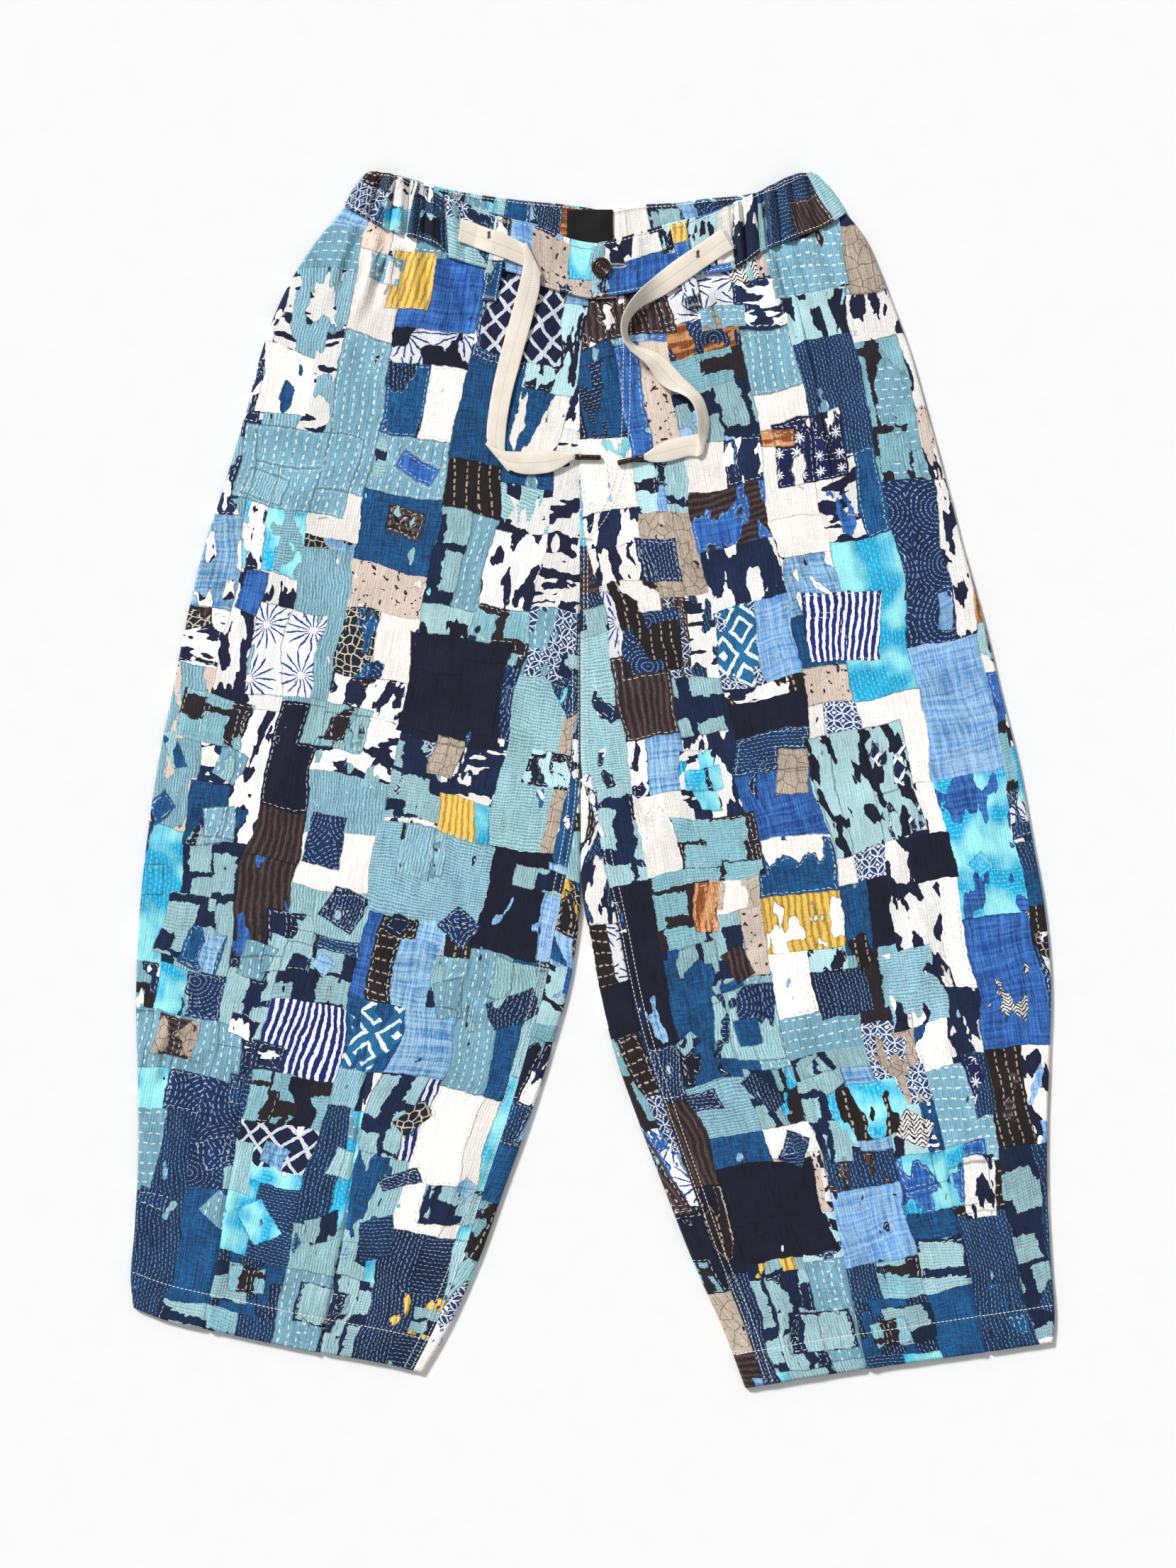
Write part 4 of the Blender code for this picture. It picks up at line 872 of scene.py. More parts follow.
def make_band_back(material):
    s = BAND_ROWS
    front = {}
    for side in SIDES:
        floor = band_strip(BAND_ELASTIC[side], np.linspace(0, 1, 96), s)
        x, y = floor[..., 0], floor[..., 1]
        fade = smooth(np.linspace(1, 0, 96), 0, 0.12)[:, None]
        z = BAND_TOP + fade * (gathers(x, y) + 0.3) + 0.4 * fade * swell(x, y, 43)
        front[side] = np.stack([x, y, z], axis=-1)
    turns = {}
    radius = BAND_TOP / 2
    for side, way in (("left", 1), ("right", -1)):
        low, high, _, out = directions(*(BAND_ELASTIC[side][edge][-1] for edge in ("low", "high")))
        angle = np.radians(np.linspace(80, -80, 15))[:, None]
        bulge = smooth_line(np.stack([FOLD_AT, FOLD_BULGE[side]], axis=1))(np.linspace(0, 1, 60))
        bulge = np.interp(s, bulge[:, 0], bulge[:, 1])
        thin = 1 - 0.65 * smooth(s, 0.86, 1)
        reach = radius * np.cos(angle) * thin + bulge
        reach = reach + 0.35 * np.sin(angle * 5 + s * 4) * np.sin(np.pi * s)
        flat = low + s[:, None] * (high - low) + way * out * reach[..., None]
        turns[side] = np.concatenate([flat, (radius * (1 + np.sin(angle)) + 0 * bulge)[..., None]], axis=-1)
    t = np.linspace(0, 1, 250)
    floor = band_strip(BAND_ELASTIC["back"], t, s)
    along = lengths_along(floor[:, 10])
    rise = pleats(along, 51)[:, None] * np.sin(np.pi * t)[:, None] ** 0.4 * (0.7 + 0.3 * np.sin(s * 5))
    under = np.concatenate([floor, (1.3 * rise)[..., None]], axis=-1)
    strip = np.concatenate([front["left"], turns["left"], under, turns["right"][::-1], front["right"][::-1]])
    lengths = lengths_along(strip[:, 10])
    on_top = strip[..., 2] > BAND_TOP / 2
    strip[..., 2] += np.where(on_top, -1, 1) * sewn_edges(s)
    return sew_band("band_back_cloth", strip, lengths * 1.25, BAND_PLACE["back"], material, reverse=True)


# %% [markdown]
# ## What lies on the cloth
#
# The belt loops, the label, the tapes and the button lie on what is already there. So their heights are not
# typed in: rays dropped from above on the finished shells find the highest face under each place.

# %% Finding the face below
def surface_below(pieces):
    """One search tree over the pieces' meshes."""
    points, faces = [], []
    for piece in pieces:
        start = len(points)
        points += [vertex.co.copy() for vertex in piece.data.vertices]
        faces += [[start + k for k in face.vertices] for face in piece.data.polygons]
    return BVHTree.FromPolygons(points, faces)


def drop(below, x, y, reach=0.0):
    """Height in mm of the highest face below a place, or within a reach round it."""
    steps = (-reach, 0, reach) if reach else (0,)
    best = 0.0
    for dx, dy in itertools.product(steps, steps):
        hit = below.ray_cast(Vector(place([x + dx, y + dy, 90.0])), Vector((0, 0, -1)))[0]
        if hit is not None:
            best = max(best, hit.z / MM)
    return best


def laid_over(lows, reach, soften):
    """Heights along a strip that stay over what lies below and have no steps."""
    for way, around in ((np.max, reach), (np.mean, soften)):
        padded = np.pad(lows, around, mode="edge")
        lows = way([padded[k : k + len(lows)] for k in range(2 * around + 1)], axis=0)
    return lows


# %% Belt loops
LOOPS = {"left": ((-68.9, 437.2), (-80.3, 371.7)), "right": ((66.6, 432.6), (79.8, 365.6))}
LOOP_WIDTH = 12.3
LOOP_WALL = 1.5
LOOP_ARCH = 1.0
LOOP_GAP = 0.3  # over what lies below
LOOP_STITCH = 1.7  # stitching inside the loop's edges
LOOP_PLACE = {"left": (300, 60), "right": (-200, 350)}


def make_loop(side, below, material):
    start, end, run, aside = directions(*LOOPS[side])
    length = line_length([start, end])
    t = np.linspace(0, 1, 70)
    s = np.array([-1, -0.93, -0.8, -0.66, -0.4, 0, 0.4, 0.66, 0.8, 0.93, 1.0])
    middle = start + run * length * t[:, None]
    half = aside * LOOP_WIDTH
    lows = [max(drop(below, *(m + k * half / 2)) for k in (-1, -0.5, 0, 0.5, 1)) for m in middle]
    base = laid_over(lows, 4, 5) + LOOP_GAP + LOOP_WALL + LOOP_ARCH * np.sin(np.pi * t)
    floor = middle[:, None] + s[:, None] * aside * LOOP_WIDTH / 2
    near = (1 - np.abs(s)) * LOOP_WIDTH / 2
    z = base[:, None] - 0.5 * (1 - smooth(near, 0, 0.9)) - 0.3 * beside(near - LOOP_STITCH, 0.9)
    ends = np.minimum(t, 1 - t) * length
    z = z - 0.45 * (1 - smooth(ends, 0, 1.2))[:, None] - 0.25 * beside(ends - 3, 2.0)[:, None]
    points = np.concatenate([floor, z[..., None]], axis=-1)
    places = s * LOOP_WIDTH / 2 + LOOP_PLACE[side][0], LOOP_PLACE[side][1] - t[:, None] * length
    return add_strip(f"belt_loop_{side}_cloth", points, places, LOOP_WALL, material)


# %% [markdown]
# ## The tapes
#
# Two flat cotton tapes are bartacked to the front band, pass under the belt loops and lie loosely on the
# front. A tape is a flat cord, so its route is given row by row: each row of a table gives its two edges on
# the floor and how far it is lifted over what lies below. Between the rows the mesh follows a smooth curve.
# Where a tape turns over, its sections come close and climb on each other. The metal ends are crimped on.

# %% Tape sections, mm
TAPE_WIDTH, TAPE_WALL = 17.5, 0.85
TAPE_GAP = 0.25  # over what lies below, also for the button
AGLET_RADIUS = 2.1
AGLET_LENGTH = 20.5
AGLETS = {"left": ((-13.4, 250.4), (1.0, -0.03)), "right": ((39.9, 250.1), (-0.976, -0.218))}
TAPES = {
    "left": [
        # a x, a y, b x, b y, and where it is lifted: lift a, lift b
        (-101.5, 435.8, -104.2, 418.4), (-94, 433.6, -97.5, 416.2), (-86.5, 430.6, -90.3, 413.3),
        (-77.5, 427.2, -81.5, 409.8), (-68.5, 423.8, -71, 406), (-60, 420.4, -59, 401.4),
        (-55, 417.6, -45.5, 395.5), (-52.4, 416.8, -40.4, 392, 0.15, 0.15),
        (-51.2, 417.4, -39, 392.7, 1.2, 1.2), (-52.4, 416, -40.2, 391.2, 2.4, 2.4),
        (-53.2, 411.5, -40.4, 387.5, 3.3, 2.7), (-53, 402, -40.8, 381.5, 3.6, 2.6),
        (-54.8, 391, -42.2, 374.5, 3.2, 1.4), (-57.4, 380.8, -44.6, 365.8, 1.2, 0),
        (-62.6, 362, -47.4, 354.6), (-67.6, 343.8, -51.6, 339.6), (-72.6, 325, -56.6, 321.2, 0, 0.4),
        (-76.6, 307.8, -61.2, 304.4, 0, 1), (-79.6, 290.8, -64.8, 287.4, 0, 0.9),
        (-81.6, 275.6, -67, 271.6, 0, 0.3), (-82, 266, -67.4, 252), (-82, 261.8, -64.2, 240.4, 0.1, 0.1),
        (-83, 260.4, -65.2, 239, 1.1, 1.1), (-81.6, 261, -63.4, 239.9, 2.1, 2.1),
        (-78.4, 258.6, -59.6, 238.4, 2.4, 2.4), (-70, 255.2, -55.5, 237.4, 2.4, 1.4),
        (-57.5, 254.4, -48.2, 236.9, 1.4, 0.4), (-44, 254.7, -39.5, 237.4), (-33, 255, -31, 239, 0.2, 0.2),
        (-24.5, 254.6, -23, 242.9), (-17.8, 253.2, -17.4, 246.6), (-13.9, 252.1, -13.8, 248.7),
    ],
    "right": [
        # a x, a y, b x, b y, and where it is lifted: lift a, lift b
        (100.8, 428.2, 110.4, 412.4), (94, 423.4, 103, 408), (86.5, 418, 94.8, 402.6),
        (78.4, 412.6, 86.4, 396.8), (69.6, 406.6, 77, 390), (60.4, 400, 66.4, 382.8, 0.6, 0),
        (51.8, 393.2, 55.8, 376.2, 2.4, 0), (43.4, 385.8, 46.2, 371.4, 5.6, 0),
        (35.6, 377.6, 38.2, 367, 9.6, 0), (28.6, 368.2, 32.4, 361.6, 13, 0), (23.8, 358, 28.6, 355, 14.4, 0),
        (22.6, 348.2, 27.8, 348, 14.6, 0), (24.8, 339.6, 29.6, 342, 14.4, 0),
        (29.6, 332.6, 34.6, 337.4, 13.6, 0), (35.8, 327.2, 42.4, 334.6, 11.8, 0),
        (42.2, 321.6, 51, 331.4, 9.4, 0), (47.4, 314.4, 59.2, 325.4, 6.8, 0), (53, 307.4, 66, 318, 5, 0),
        (60.6, 302.2, 72.6, 310.8, 5.4, 0), (68.8, 299, 79.6, 304.2, 7.4, 0),
        (75.6, 294.6, 86.2, 296.6, 9.4, 0), (80, 287.2, 90, 286.4, 10.6, 0.4),
        (81.8, 277.4, 91.4, 275.2, 9.8, 1), (82.4, 269, 88.8, 262.4, 6.6, 1.6),
        (83.2, 266.4, 84.8, 251.6, 3.9, 2.2), (84, 268.6, 82, 250.6, 2.2, 2.2),
        (85.2, 269.4, 83.1, 250, 1.1, 1.1), (84, 268.8, 81.6, 250.6), (78.6, 267.6, 76.4, 251.2),
        (69, 265.8, 68.2, 249.2), (59.2, 263, 59.6, 247), (50.6, 259, 51.2, 246.2),
        (44.6, 254.8, 45.2, 246.8), (40.5, 251.9, 40.6, 248.5),
    ],
}
TAPE_STEPS = 9  # rows of the mesh between two sections
TAPE_KNOTS = {"left": (-80.3, 423.2), "right": (82.3, 408.3)}  # dark bartacks that hold the tapes


def tape_rows(side, below):
    """Edges of a tape, row by row: both points on the floor, and the heights of both."""
    table = np.array([(*row, 0, 0)[:6] for row in TAPES[side]], float)
    count = (len(table) - 1) * TAPE_STEPS + 1
    line = smooth_line(table)(np.linspace(0, 1, count))
    a, b, lifts = line[:, 0:2], line[:, 2:4], np.maximum(line[:, 4:6], 0)
    parts = (0, 0.25, 0.5, 0.75, 1)
    lows = [max(drop(below, *(a[k] + f * (b[k] - a[k])), reach=1.2) for f in parts) for k in range(count)]
    base = laid_over(lows, 4, 6) + TAPE_GAP + TAPE_WALL / 2
    return a, b, base, lifts


def aglet_height(side, below):
    (x, y), heading = AGLETS[side]
    ends = np.array([x, y]) + np.array(heading) * AGLET_LENGTH * np.linspace(0, 1, 9)[:, None]
    return max(drop(below, *end, reach=1.5) for end in ends) + 0.2 + AGLET_RADIUS


def make_tape(side, below, material):
    a, b, base, lifts = tape_rows(side, below)
    count = len(a)
    climb = smooth(np.arange(count), count - 6.5 * TAPE_STEPS, count - 1.5 * TAPE_STEPS)
    base = base + climb * (aglet_height(side, below) - base)
    s = np.array([0, 0.03, 0.09, 0.2, 0.35, 0.5, 0.65, 0.8, 0.91, 0.97, 1.0])
    floor = a[:, None] + s[:, None] * (b - a)[:, None]
    width = np.linalg.norm(b - a, axis=1)[:, None]
    z = base[:, None] + lifts[:, :1] * (1 - s) + lifts[:, 1:] * s
    z = z + 0.3 * (1 - (2 * s - 1) ** 2) - 0.25 * (1 - smooth(np.minimum(s, 1 - s) * width, 0, 0.7))
    knot = np.linalg.norm(floor - np.array(TAPE_KNOTS[side]), axis=-1)
    z = z - 0.35 * (1 - smooth(knot, 0, 5)) + 0.18 * soft_noise(floor[..., 0], floor[..., 1], 9, 61)
    tight = np.clip(width / 12, 0, 1)
    z = z + (1 - tight) * 0.9 * np.abs(np.sin(s * 9.5)) * smooth(climb[:, None], 0.2, 1)
    points = np.concatenate([floor, z[..., None]], axis=-1)
    middle = points[:, 5]
    places = s * TAPE_WIDTH, lengths_along(middle)[:, None]
    made = add_strip(f"tape_{side}_cloth", points, places, TAPE_WALL, material, offset=0)
    return made, middle[::TAPE_STEPS]


# %% Turned pieces: the button and the metal ends
def turned(name, outline, steps, material, lay):
    """A shape turned round z from its outline of (radius, height) in mm; `lay` puts its points in place."""
    outline = np.array(outline, float)
    angle = np.linspace(0, 2 * np.pi, steps, endpoint=False)
    radius, height = outline[1:-1, 0][:, None], outline[1:-1, 1][:, None]
    ring = np.broadcast_arrays(radius * np.cos(angle), radius * np.sin(angle), height)
    ring = np.stack(ring, axis=-1).reshape(-1, 3)
    points = lay(np.concatenate([ring, [[0, 0, outline[0, 1]], [0, 0, outline[-1, 1]]]]))
    turn = [(k, (k + 1) % steps) for k in range(steps)]
    last = len(ring) - steps
    faces = [(row + a, row + b, row + steps + b, row + steps + a)
             for row in range(0, last, steps) for a, b in turn]
    faces += [(len(ring), b, a) for a, b in turn]
    faces += [(len(ring) + 1, last + a, last + b) for a, b in turn]
    places = [points[k][:2] for face in faces for k in face]
    made = add_mesh(name, points, faces, places, material)
    edit_mesh(made, lambda mesh: bmesh.ops.recalc_face_normals(mesh, faces=mesh.faces))
    return made


def rounded(outline, per_step=4):
    """More points along an outline, on a smooth curve through it."""
    count = (len(outline) - 1) * per_step + 1
    return smooth_line(outline)(np.linspace(0, 1, count))


BUTTON_AT = (7.2, 397.8)
BUTTON_OUTLINE = [
    (0, 1.75), (0.9, 1.7), (1.3, 2.15), (1.7, 2.3), (2.1, 2.2), (2.5, 1.75), (3.1, 1.7), (3.5, 2.0),
    (3.9, 2.5), (4.3, 2.6), (4.6, 2.2), (5.0, 2.1), (5.5, 2.5), (6.1, 3.2), (6.7, 3.4), (7.3, 3.1),
    (7.75, 2.3), (7.7, 1.5), (7.1, 0.6), (6.0, 0.15), (4.0, 0.0), (0, 0),
]


def make_button(below, material):
    centre = np.array([*BUTTON_AT, drop(below, *BUTTON_AT, reach=5) + TAPE_GAP])
    return turned("button_turned", rounded(BUTTON_OUTLINE), 96, material, lambda points: points + centre)


def make_aglet(side, below, material):
    start, heading = AGLETS[side]
    _, _, along, aside = directions((0, 0), heading)
    height = aglet_height(side, below)
    radius = AGLET_RADIUS
    outline = [(0, 0.9), (1.2, 0.7), (1.62, 0.35), (1.85, 0.0), (radius, 0.25), (radius, 1.2),
               (radius * 0.93, 2.2), (radius * 0.9, 3.2), (radius * 0.97, 4.2), (radius, 5.4), (radius, 10),
               (radius, 15), (radius, 18.6), (radius * 0.97, 19.6), (radius * 0.86, 20.3),
               (1.5, AGLET_LENGTH), (1.2, 20.2), (0, 20.0)]

    def lay(points):
        x, y, z = points[:, :1], points[:, 1:2], points[:, 2:]
        pinch = 1 - 0.3 * beside(z - 3.0, 2.6)
        seam = 1 - 0.1 * beside(np.arctan2(y, x) - 1.1, 0.16)
        floor = start + z * along + x * seam * (2 - pinch) * 0.98 * aside
        return np.concatenate([floor, height + y * seam * pinch], axis=1)

    return turned(f"aglet_{side}_metal", rounded(outline, 3), 40, material, lay)


# %% The label
LABEL_AT = (-19.4, 409.5, 16.4, 444.0)
LABEL_WALL, LABEL_GAP = 0.6, 0.35


def make_label(below, material):
    x0, y0, x1, y1 = LABEL_AT
    across, up = np.linspace(x0, x1, 33), np.linspace(y1, y0, 31)
    x, y = np.meshgrid(across, up)
    lows = np.array([[drop(below, px, py) for px in across] for py in up])
    near = np.minimum(np.minimum(x - x0, x1 - x), np.minimum(y - y0, y1 - y))
    level = lows.max() + LABEL_GAP + LABEL_WALL
    z = level - 0.3 * (1 - smooth(near, 0, 1.0)) - 0.22 * beside(near - 1.8, 1.0)
    z = z + 0.22 * np.sin(x / 5.2 + 0.5) * smooth(near, 0, 6) + 0.12 * soft_noise(x, y, 8, 71)
    return add_strip("label_woven", np.stack([x, y, z], axis=-1), (x, y), LABEL_WALL, material)


# %% [markdown]
# ## Stitches
#
# Every seam is closed or edged with white topstitching. A stitch repeats along a path, so Geometry Nodes make
# it: a curve is laid on the cloth, points are set along it by the stitch length, and a small grain of thread
# is put on each. A second tree turns paths into thread: for bartacks, the buttonhole and frayed ends.

# %% Trees for stitches and threads
STITCH, STITCH_LENGTH = 3.3, 2.7  # mm from one stitch to the next, and the length of each
THREAD = 0.72  # mm; a real one is 0.4 and would not show


def geometry_tree(name, sizes):
    """A geometry tree with named inputs, the function that adds nodes to it, and its inputs' sockets."""
    tree = bpy.data.node_groups.new(name, "GeometryNodeTree")
    tree.interface.new_socket("Paths", in_out="INPUT", socket_type="NodeSocketGeometry")
    for label, value in sizes.items():
        tree.interface.new_socket(label, in_out="INPUT", socket_type="NodeSocketFloat").default_value = value
    tree.interface.new_socket("Thread", in_out="INPUT", socket_type="NodeSocketMaterial")
    tree.interface.new_socket("Mesh", in_out="OUTPUT", socket_type="NodeSocketGeometry")
    given = tree.nodes.new("NodeGroupInput").outputs
    tree.nodes.new("NodeGroupOutput")
    return tree, functools.partial(add_node, tree), given


def end_tree(tree, n, given, shape):
    """Realizes what a tree has made and gives it its thread."""
    finished = n("SetMaterial", {0: n("RealizeInstances", shape), 2: given["Thread"]})
    tree.links.new(finished, tree.nodes["Group Output"].inputs[0])
    return tree


def stitch_tree():
    sizes = {"Pitch": STITCH * MM, "Length": STITCH_LENGTH * MM, "Thickness": THREAD * MM}
    tree, n, given = geometry_tree("stitches", sizes)
    spots = n("CurveToPoints LENGTH", {0: n("MeshToCurve", given["Paths"]), 2: given["Pitch"]})
    grain = n("SetShadeSmooth", n("MeshUVSphere", 6, 5, 0.5))
    size = n("CombineXYZ", given["Thickness"], given["Thickness"], given["Length"])
    laid = n("InstanceOnPoints", {0: spots, 2: grain, 5: spots.node.outputs["Rotation"], 6: size})
    return end_tree(tree, n, given, laid)


def thread_tree():
    tree, n, given = geometry_tree("threads", {"Radius": 0.25 * MM})
    path = n("MeshToCurve", given["Paths"])
    tube = n("CurveToMesh", {0: path, 1: n("CurvePrimitiveCircle", {0: 5, 4: given["Radius"]}), 3: True})
    return end_tree(tree, n, given, n("SetShadeSmooth", tube))


FLOOR_GAP = 0.3  # no stitch lies lower than this


def sew(name, paths, tree, material, **sizes):
    """Makes a plain mesh from paths in mm by a geometry tree; sizes set the tree's named inputs, in mm."""
    points, edges = [], []
    for path in paths:
        edges += [(len(points) + k, len(points) + k + 1) for k in range(len(path) - 1)]
        points += [tuple(point) for point in path]
    mesh = bpy.data.meshes.new(name)
    points = np.maximum(place(points), [-np.inf, -np.inf, FLOOR_GAP * MM])
    mesh.from_pydata(points.tolist(), edges, [])
    made = add_object(name, mesh)
    modifier = made.modifiers.new("sewing", "NODES")
    modifier.node_group = tree
    for item in tree.interface.items_tree:
        if item.name in sizes:
            modifier[item.identifier] = sizes[item.name] * MM
        if item.name == "Thread":
            modifier[item.identifier] = material
    make_plain(made)
    print(name, "has", len(made.data.polygons), "faces on", len(paths), "paths")
    return made


# %% Paths on the cloth
def sewn(points, below, lift=0.12, spacing=1.8):
    """A path through points on the floor, laid on the face below it."""
    count = max(2, int(line_length(points) / spacing))
    return [(x, y, drop(below, x, y) + lift) for x, y in smooth_line(points)(np.linspace(0, 1, count + 1))]


def sewn_under(points, below, lift=0.1):
    """The same on the garment's underside."""
    path = []
    for x, y, _ in sewn(points, below):
        hit = below.ray_cast(Vector(place([x, y, -5.0])), Vector((0, 0, 1)))[0]
        path.append((x, y, max(0.32, (hit.z / MM if hit is not None else 0.4) - lift)))
    return path


def offset(points, distance):
    """A line beside a line; plus is to the left of its direction."""
    points = np.array(points, float)
    run = np.gradient(points, axis=0)
    aside = np.stack([-run[:, 1], run[:, 0]], axis=1) / np.linalg.norm(run, axis=1)[:, None]
    return points + distance * aside


def bartack(start, end, width, below, pitch=0.55, lift=0.2):
    """A dense zigzag of thread over a short line."""
    start, end, _, aside = directions(start, end)
    count = max(4, int(line_length([start, end]) / pitch))
    path = [start + (end - start) * k / count + aside * width / 2 * (1 if k % 2 else -1)
            for k in range(count + 1)]
    return [(x, y, drop(below, x, y) + lift) for x, y in path]


CENTRE_SEAM = -9.4  # where the centre seam lies, across the garment


def hem_stitching(leg, start, end):
    u = np.linspace(start, end, 40)
    return leg.at(u, 1 - HEM_LINE / (LEG_LENGTH + LEG_LONGER * u))


def fly_and_leg_lines():
    """Topstitching of the front, as points on the floor."""
    j_line = [(25, 370), (24.4, 320), (23.5, 276), (20.5, 243), (12.5, 218), (2, 200), (-8, 190)]
    lines = [j_line, offset(j_line, 5.5)]
    for away in (3.2, 6.0):
        lines.append([(CENTRE_SEAM + away, 188), (CENTRE_SEAM + away, 150), (CENTRE_SEAM + away, 117)])
    for leg in LEG_FRONT.values():
        v = np.linspace(0.305, 0.997, 60)
        for away in (1.8, 7.0):
            lines.append(leg.at(leg.from_inner(leg.roll(v) + away, v)[0], v))
        lines.append(hem_stitching(leg, 0.012, 0.985))
    return lines


def hidden_lines():
    """Topstitching of the underside: the hems and the seat seam."""
    lines = [hem_stitching(leg, 0.02, 0.97) for leg in LEG_BACK.values()]
    for away in (3.0, 8.0):
        lines.append([(CENTRE_SEAM + away, y) for y in np.linspace(395, 118, 20)])
    return lines


def band_lines(edges, at, start=0.0, end=1.0, count=60):
    """A line of stitching along a band's strip, `at` of the way from its low to its high edge."""
    t = np.linspace(start, end, count)
    return band_strip(edges, t, np.array([at]))[:, 0]


# %% The figures that the cloths carry
def on_cloth(n):
    """A point's place on the flat cloth, in mm."""
    return n("VectorMath SCALE", {0: n("UVMap", uv_map="cloth"), 3: 1 / MM})


def waves(pitch):
    """The scale of a wave texture whose bands are `pitch` mm apart."""
    return 0.1 * math.pi / pitch


def stretched_noise(n, at, across, along, detail=3, roughness=0.5):
    """Noise with hills about `across` mm wide and `along` mm long."""
    laid = n("VectorMath MULTIPLY", at, (1 / across, 1 / along, 1))
    return n("TexNoise 2D", {0: laid, 2: 1, 3: detail, 4: roughness})


def stitch_rows(n, at, pitch, spacing, length, width):
    """Printed running stitches in rows that go down the cloth; sizes in mm."""
    along, across = 0.5 / (pitch - length), 0.5 / (spacing - width)
    laid = n("Mapping", {0: at, 2: (0, 0, math.pi / 2), 3: (across, along, 1)})
    gaps = n("TexBrick", {0: laid, 4: 1, 5: 0.25, 6: 0.15, 8: pitch * along, 9: spacing * across}, out=1)
    return n("SUBTRACT", 1.0, gaps)


def threads(n, at, thick, long):
    """Uneven threads down and across: the sum of two stretched noises, as a soft mask."""
    both = stretched_noise(n, at, thick, long, 2), stretched_noise(n, at, long, thick, 2)
    return n("MapRange", n("ADD", *both), 0.72, 1.28, 0, 1)


def round_middles(n, at, size, randomness, count):
    """For each cell of a given size: how far a point is from its middle, and a wave that goes round it."""
    middle = n("TexVoronoi 2D", {0: at, 2: 1 / size, 8: randomness}, out=2)
    away = n("VectorMath SUBTRACT", at, middle)
    far = n("VectorMath LENGTH", away, out=1)
    x, y, _ = n("SeparateXYZ", away).node.outputs
    return far, n("COSINE", n("MULTIPLY", n("ARCTAN2", y, x), count))


def short_stitches(n, at, x, y):
    return stitch_rows(n, at, 3.8, 2.8, 2.4, 0.38)


def running_stitches(n, at, x, y):
    return stitch_rows(n, at, 5.6, 8.5, 3.2, 0.5)


def few_stitches(n, at, x, y):
    return stitch_rows(n, at, 6.6, 7.5, 3.1, 0.5)


def coarse_weave(n, at, x, y):
    return threads(n, at, 0.9, 14)


def washed(n, at, x, y):
    """Dye that runs from deep to pale across a patch, with short stitches in the pale."""
    pale = n("MapRange", n("TexNoise 2D", {0: at, 2: 1 / 30, 3: 1.5}), 0.4, 0.62, 0, 1)
    return n("MAXIMUM", pale, n("MULTIPLY", stitch_rows(n, at, 4.4, 3.2, 2.6, 0.6), 0.5))


def check(n, at, x, y):
    return threads(n, at, 2.4, 60)


def pinstripe(n, at, x, y):
    return n("TexWave X", {0: at, 1: waves(2.3)}, out=1)


def cord(n, at, x, y):
    wave = n("TexWave X", {0: at, 1: waves(5.2), 2: 0.6, 3: 1, 4: 0.5}, out=1)
    return n("POWER", wave, 2.0)


def stripes(n, at, x, y):
    wave = n("TexWave X", {0: at, 1: waves(5.6)}, out=1)
    return n("GREATER_THAN", wave, 0.6)


def torn_blobs(n, at, x, y):
    return n("GREATER_THAN", stretched_noise(n, at, 13, 33, 2.4, 0.55), 0.54)


def striped_blobs(n, at, x, y):
    """Blunt oblong pieces of fine-striped cloth, some run together, on a dark one."""
    ragged = n("TexNoise 2D", {0: at, 2: 1 / 8, 3: 3, 4: 0.6}, out=1)
    laid = n("VectorMath MULTIPLY_ADD", ragged, (7, 7, 0), at)
    laid = n("VectorMath MULTIPLY", laid, (1 / 25, 1 / 38, 1))
    away = n("TexVoronoi 2D", {0: laid, 2: 1, 8: 0.7}, distance="CHEBYCHEV")
    blob = n("LESS_THAN", away, 0.4)
    lines = n("TexWave X", {0: at, 1: waves(2.3)}, out=1)
    return n("MULTIPLY", n("MapRange", lines, 0, 1, 0.68, 1), blob)


def specks(n, at, x, y):
    field = n("TexNoise 2D", {0: at, 2: 1 / 5, 3: 1.5})
    return n("GREATER_THAN", field, 0.68)


def brush_strokes(n, at, x, y):
    return n("MapRange", stretched_noise(n, at, 26, 4), 0.46, 0.56, 0, 1)


def crackle(n, at, x, y):
    edge = n("TexVoronoi 2D", {0: at, 2: 1 / 9}, feature="DISTANCE_TO_EDGE")
    return n("LESS_THAN", edge, 0.035)


def net(n, at, x, y):
    edge = n("TexVoronoi 2D", {0: at, 2: 1 / 6, 8: 0.7}, feature="DISTANCE_TO_EDGE")
    return n("LESS_THAN", edge, 0.075)


def chevrons(n, at, x, y):
    slope = n("ADD", y, n("PINGPONG", x, 4.5))
    return n("LESS_THAN", n("FLOORED_MODULO", slope, 3.2), 1.3)


def crossed_circles(n, at, x, y):
    """Two lattices of circles, half a step apart, and a dot in each."""
    lattices = []
    for shift in ((0, 0, 0), (6.5, 6.5, 0)):
        far = n("TexVoronoi 2D", {0: n("VectorMath ADD", at, shift), 2: 1 / 13, 8: 0})
        ring = n("COMPARE", far, 0.5, 0.035)
        lattices.append(n("MAXIMUM", ring, n("LESS_THAN", far, 0.1)))
    return n("MAXIMUM", *lattices)


def daisies(n, at, x, y):
    far, round_wave = round_middles(n, at, 15, 0.4, 8)
    return n("LESS_THAN", far, n("MULTIPLY_ADD", round_wave, 1.7, 2.6))


def bursts(n, at, x, y):
    far, round_wave = round_middles(n, at, 36, 0.3, 14)
    ray = n("GREATER_THAN", round_wave, n("MULTIPLY_ADD", far, 0.045, 0.1))
    return n("MULTIPLY", ray, n("GREATER_THAN", far, 3.0))


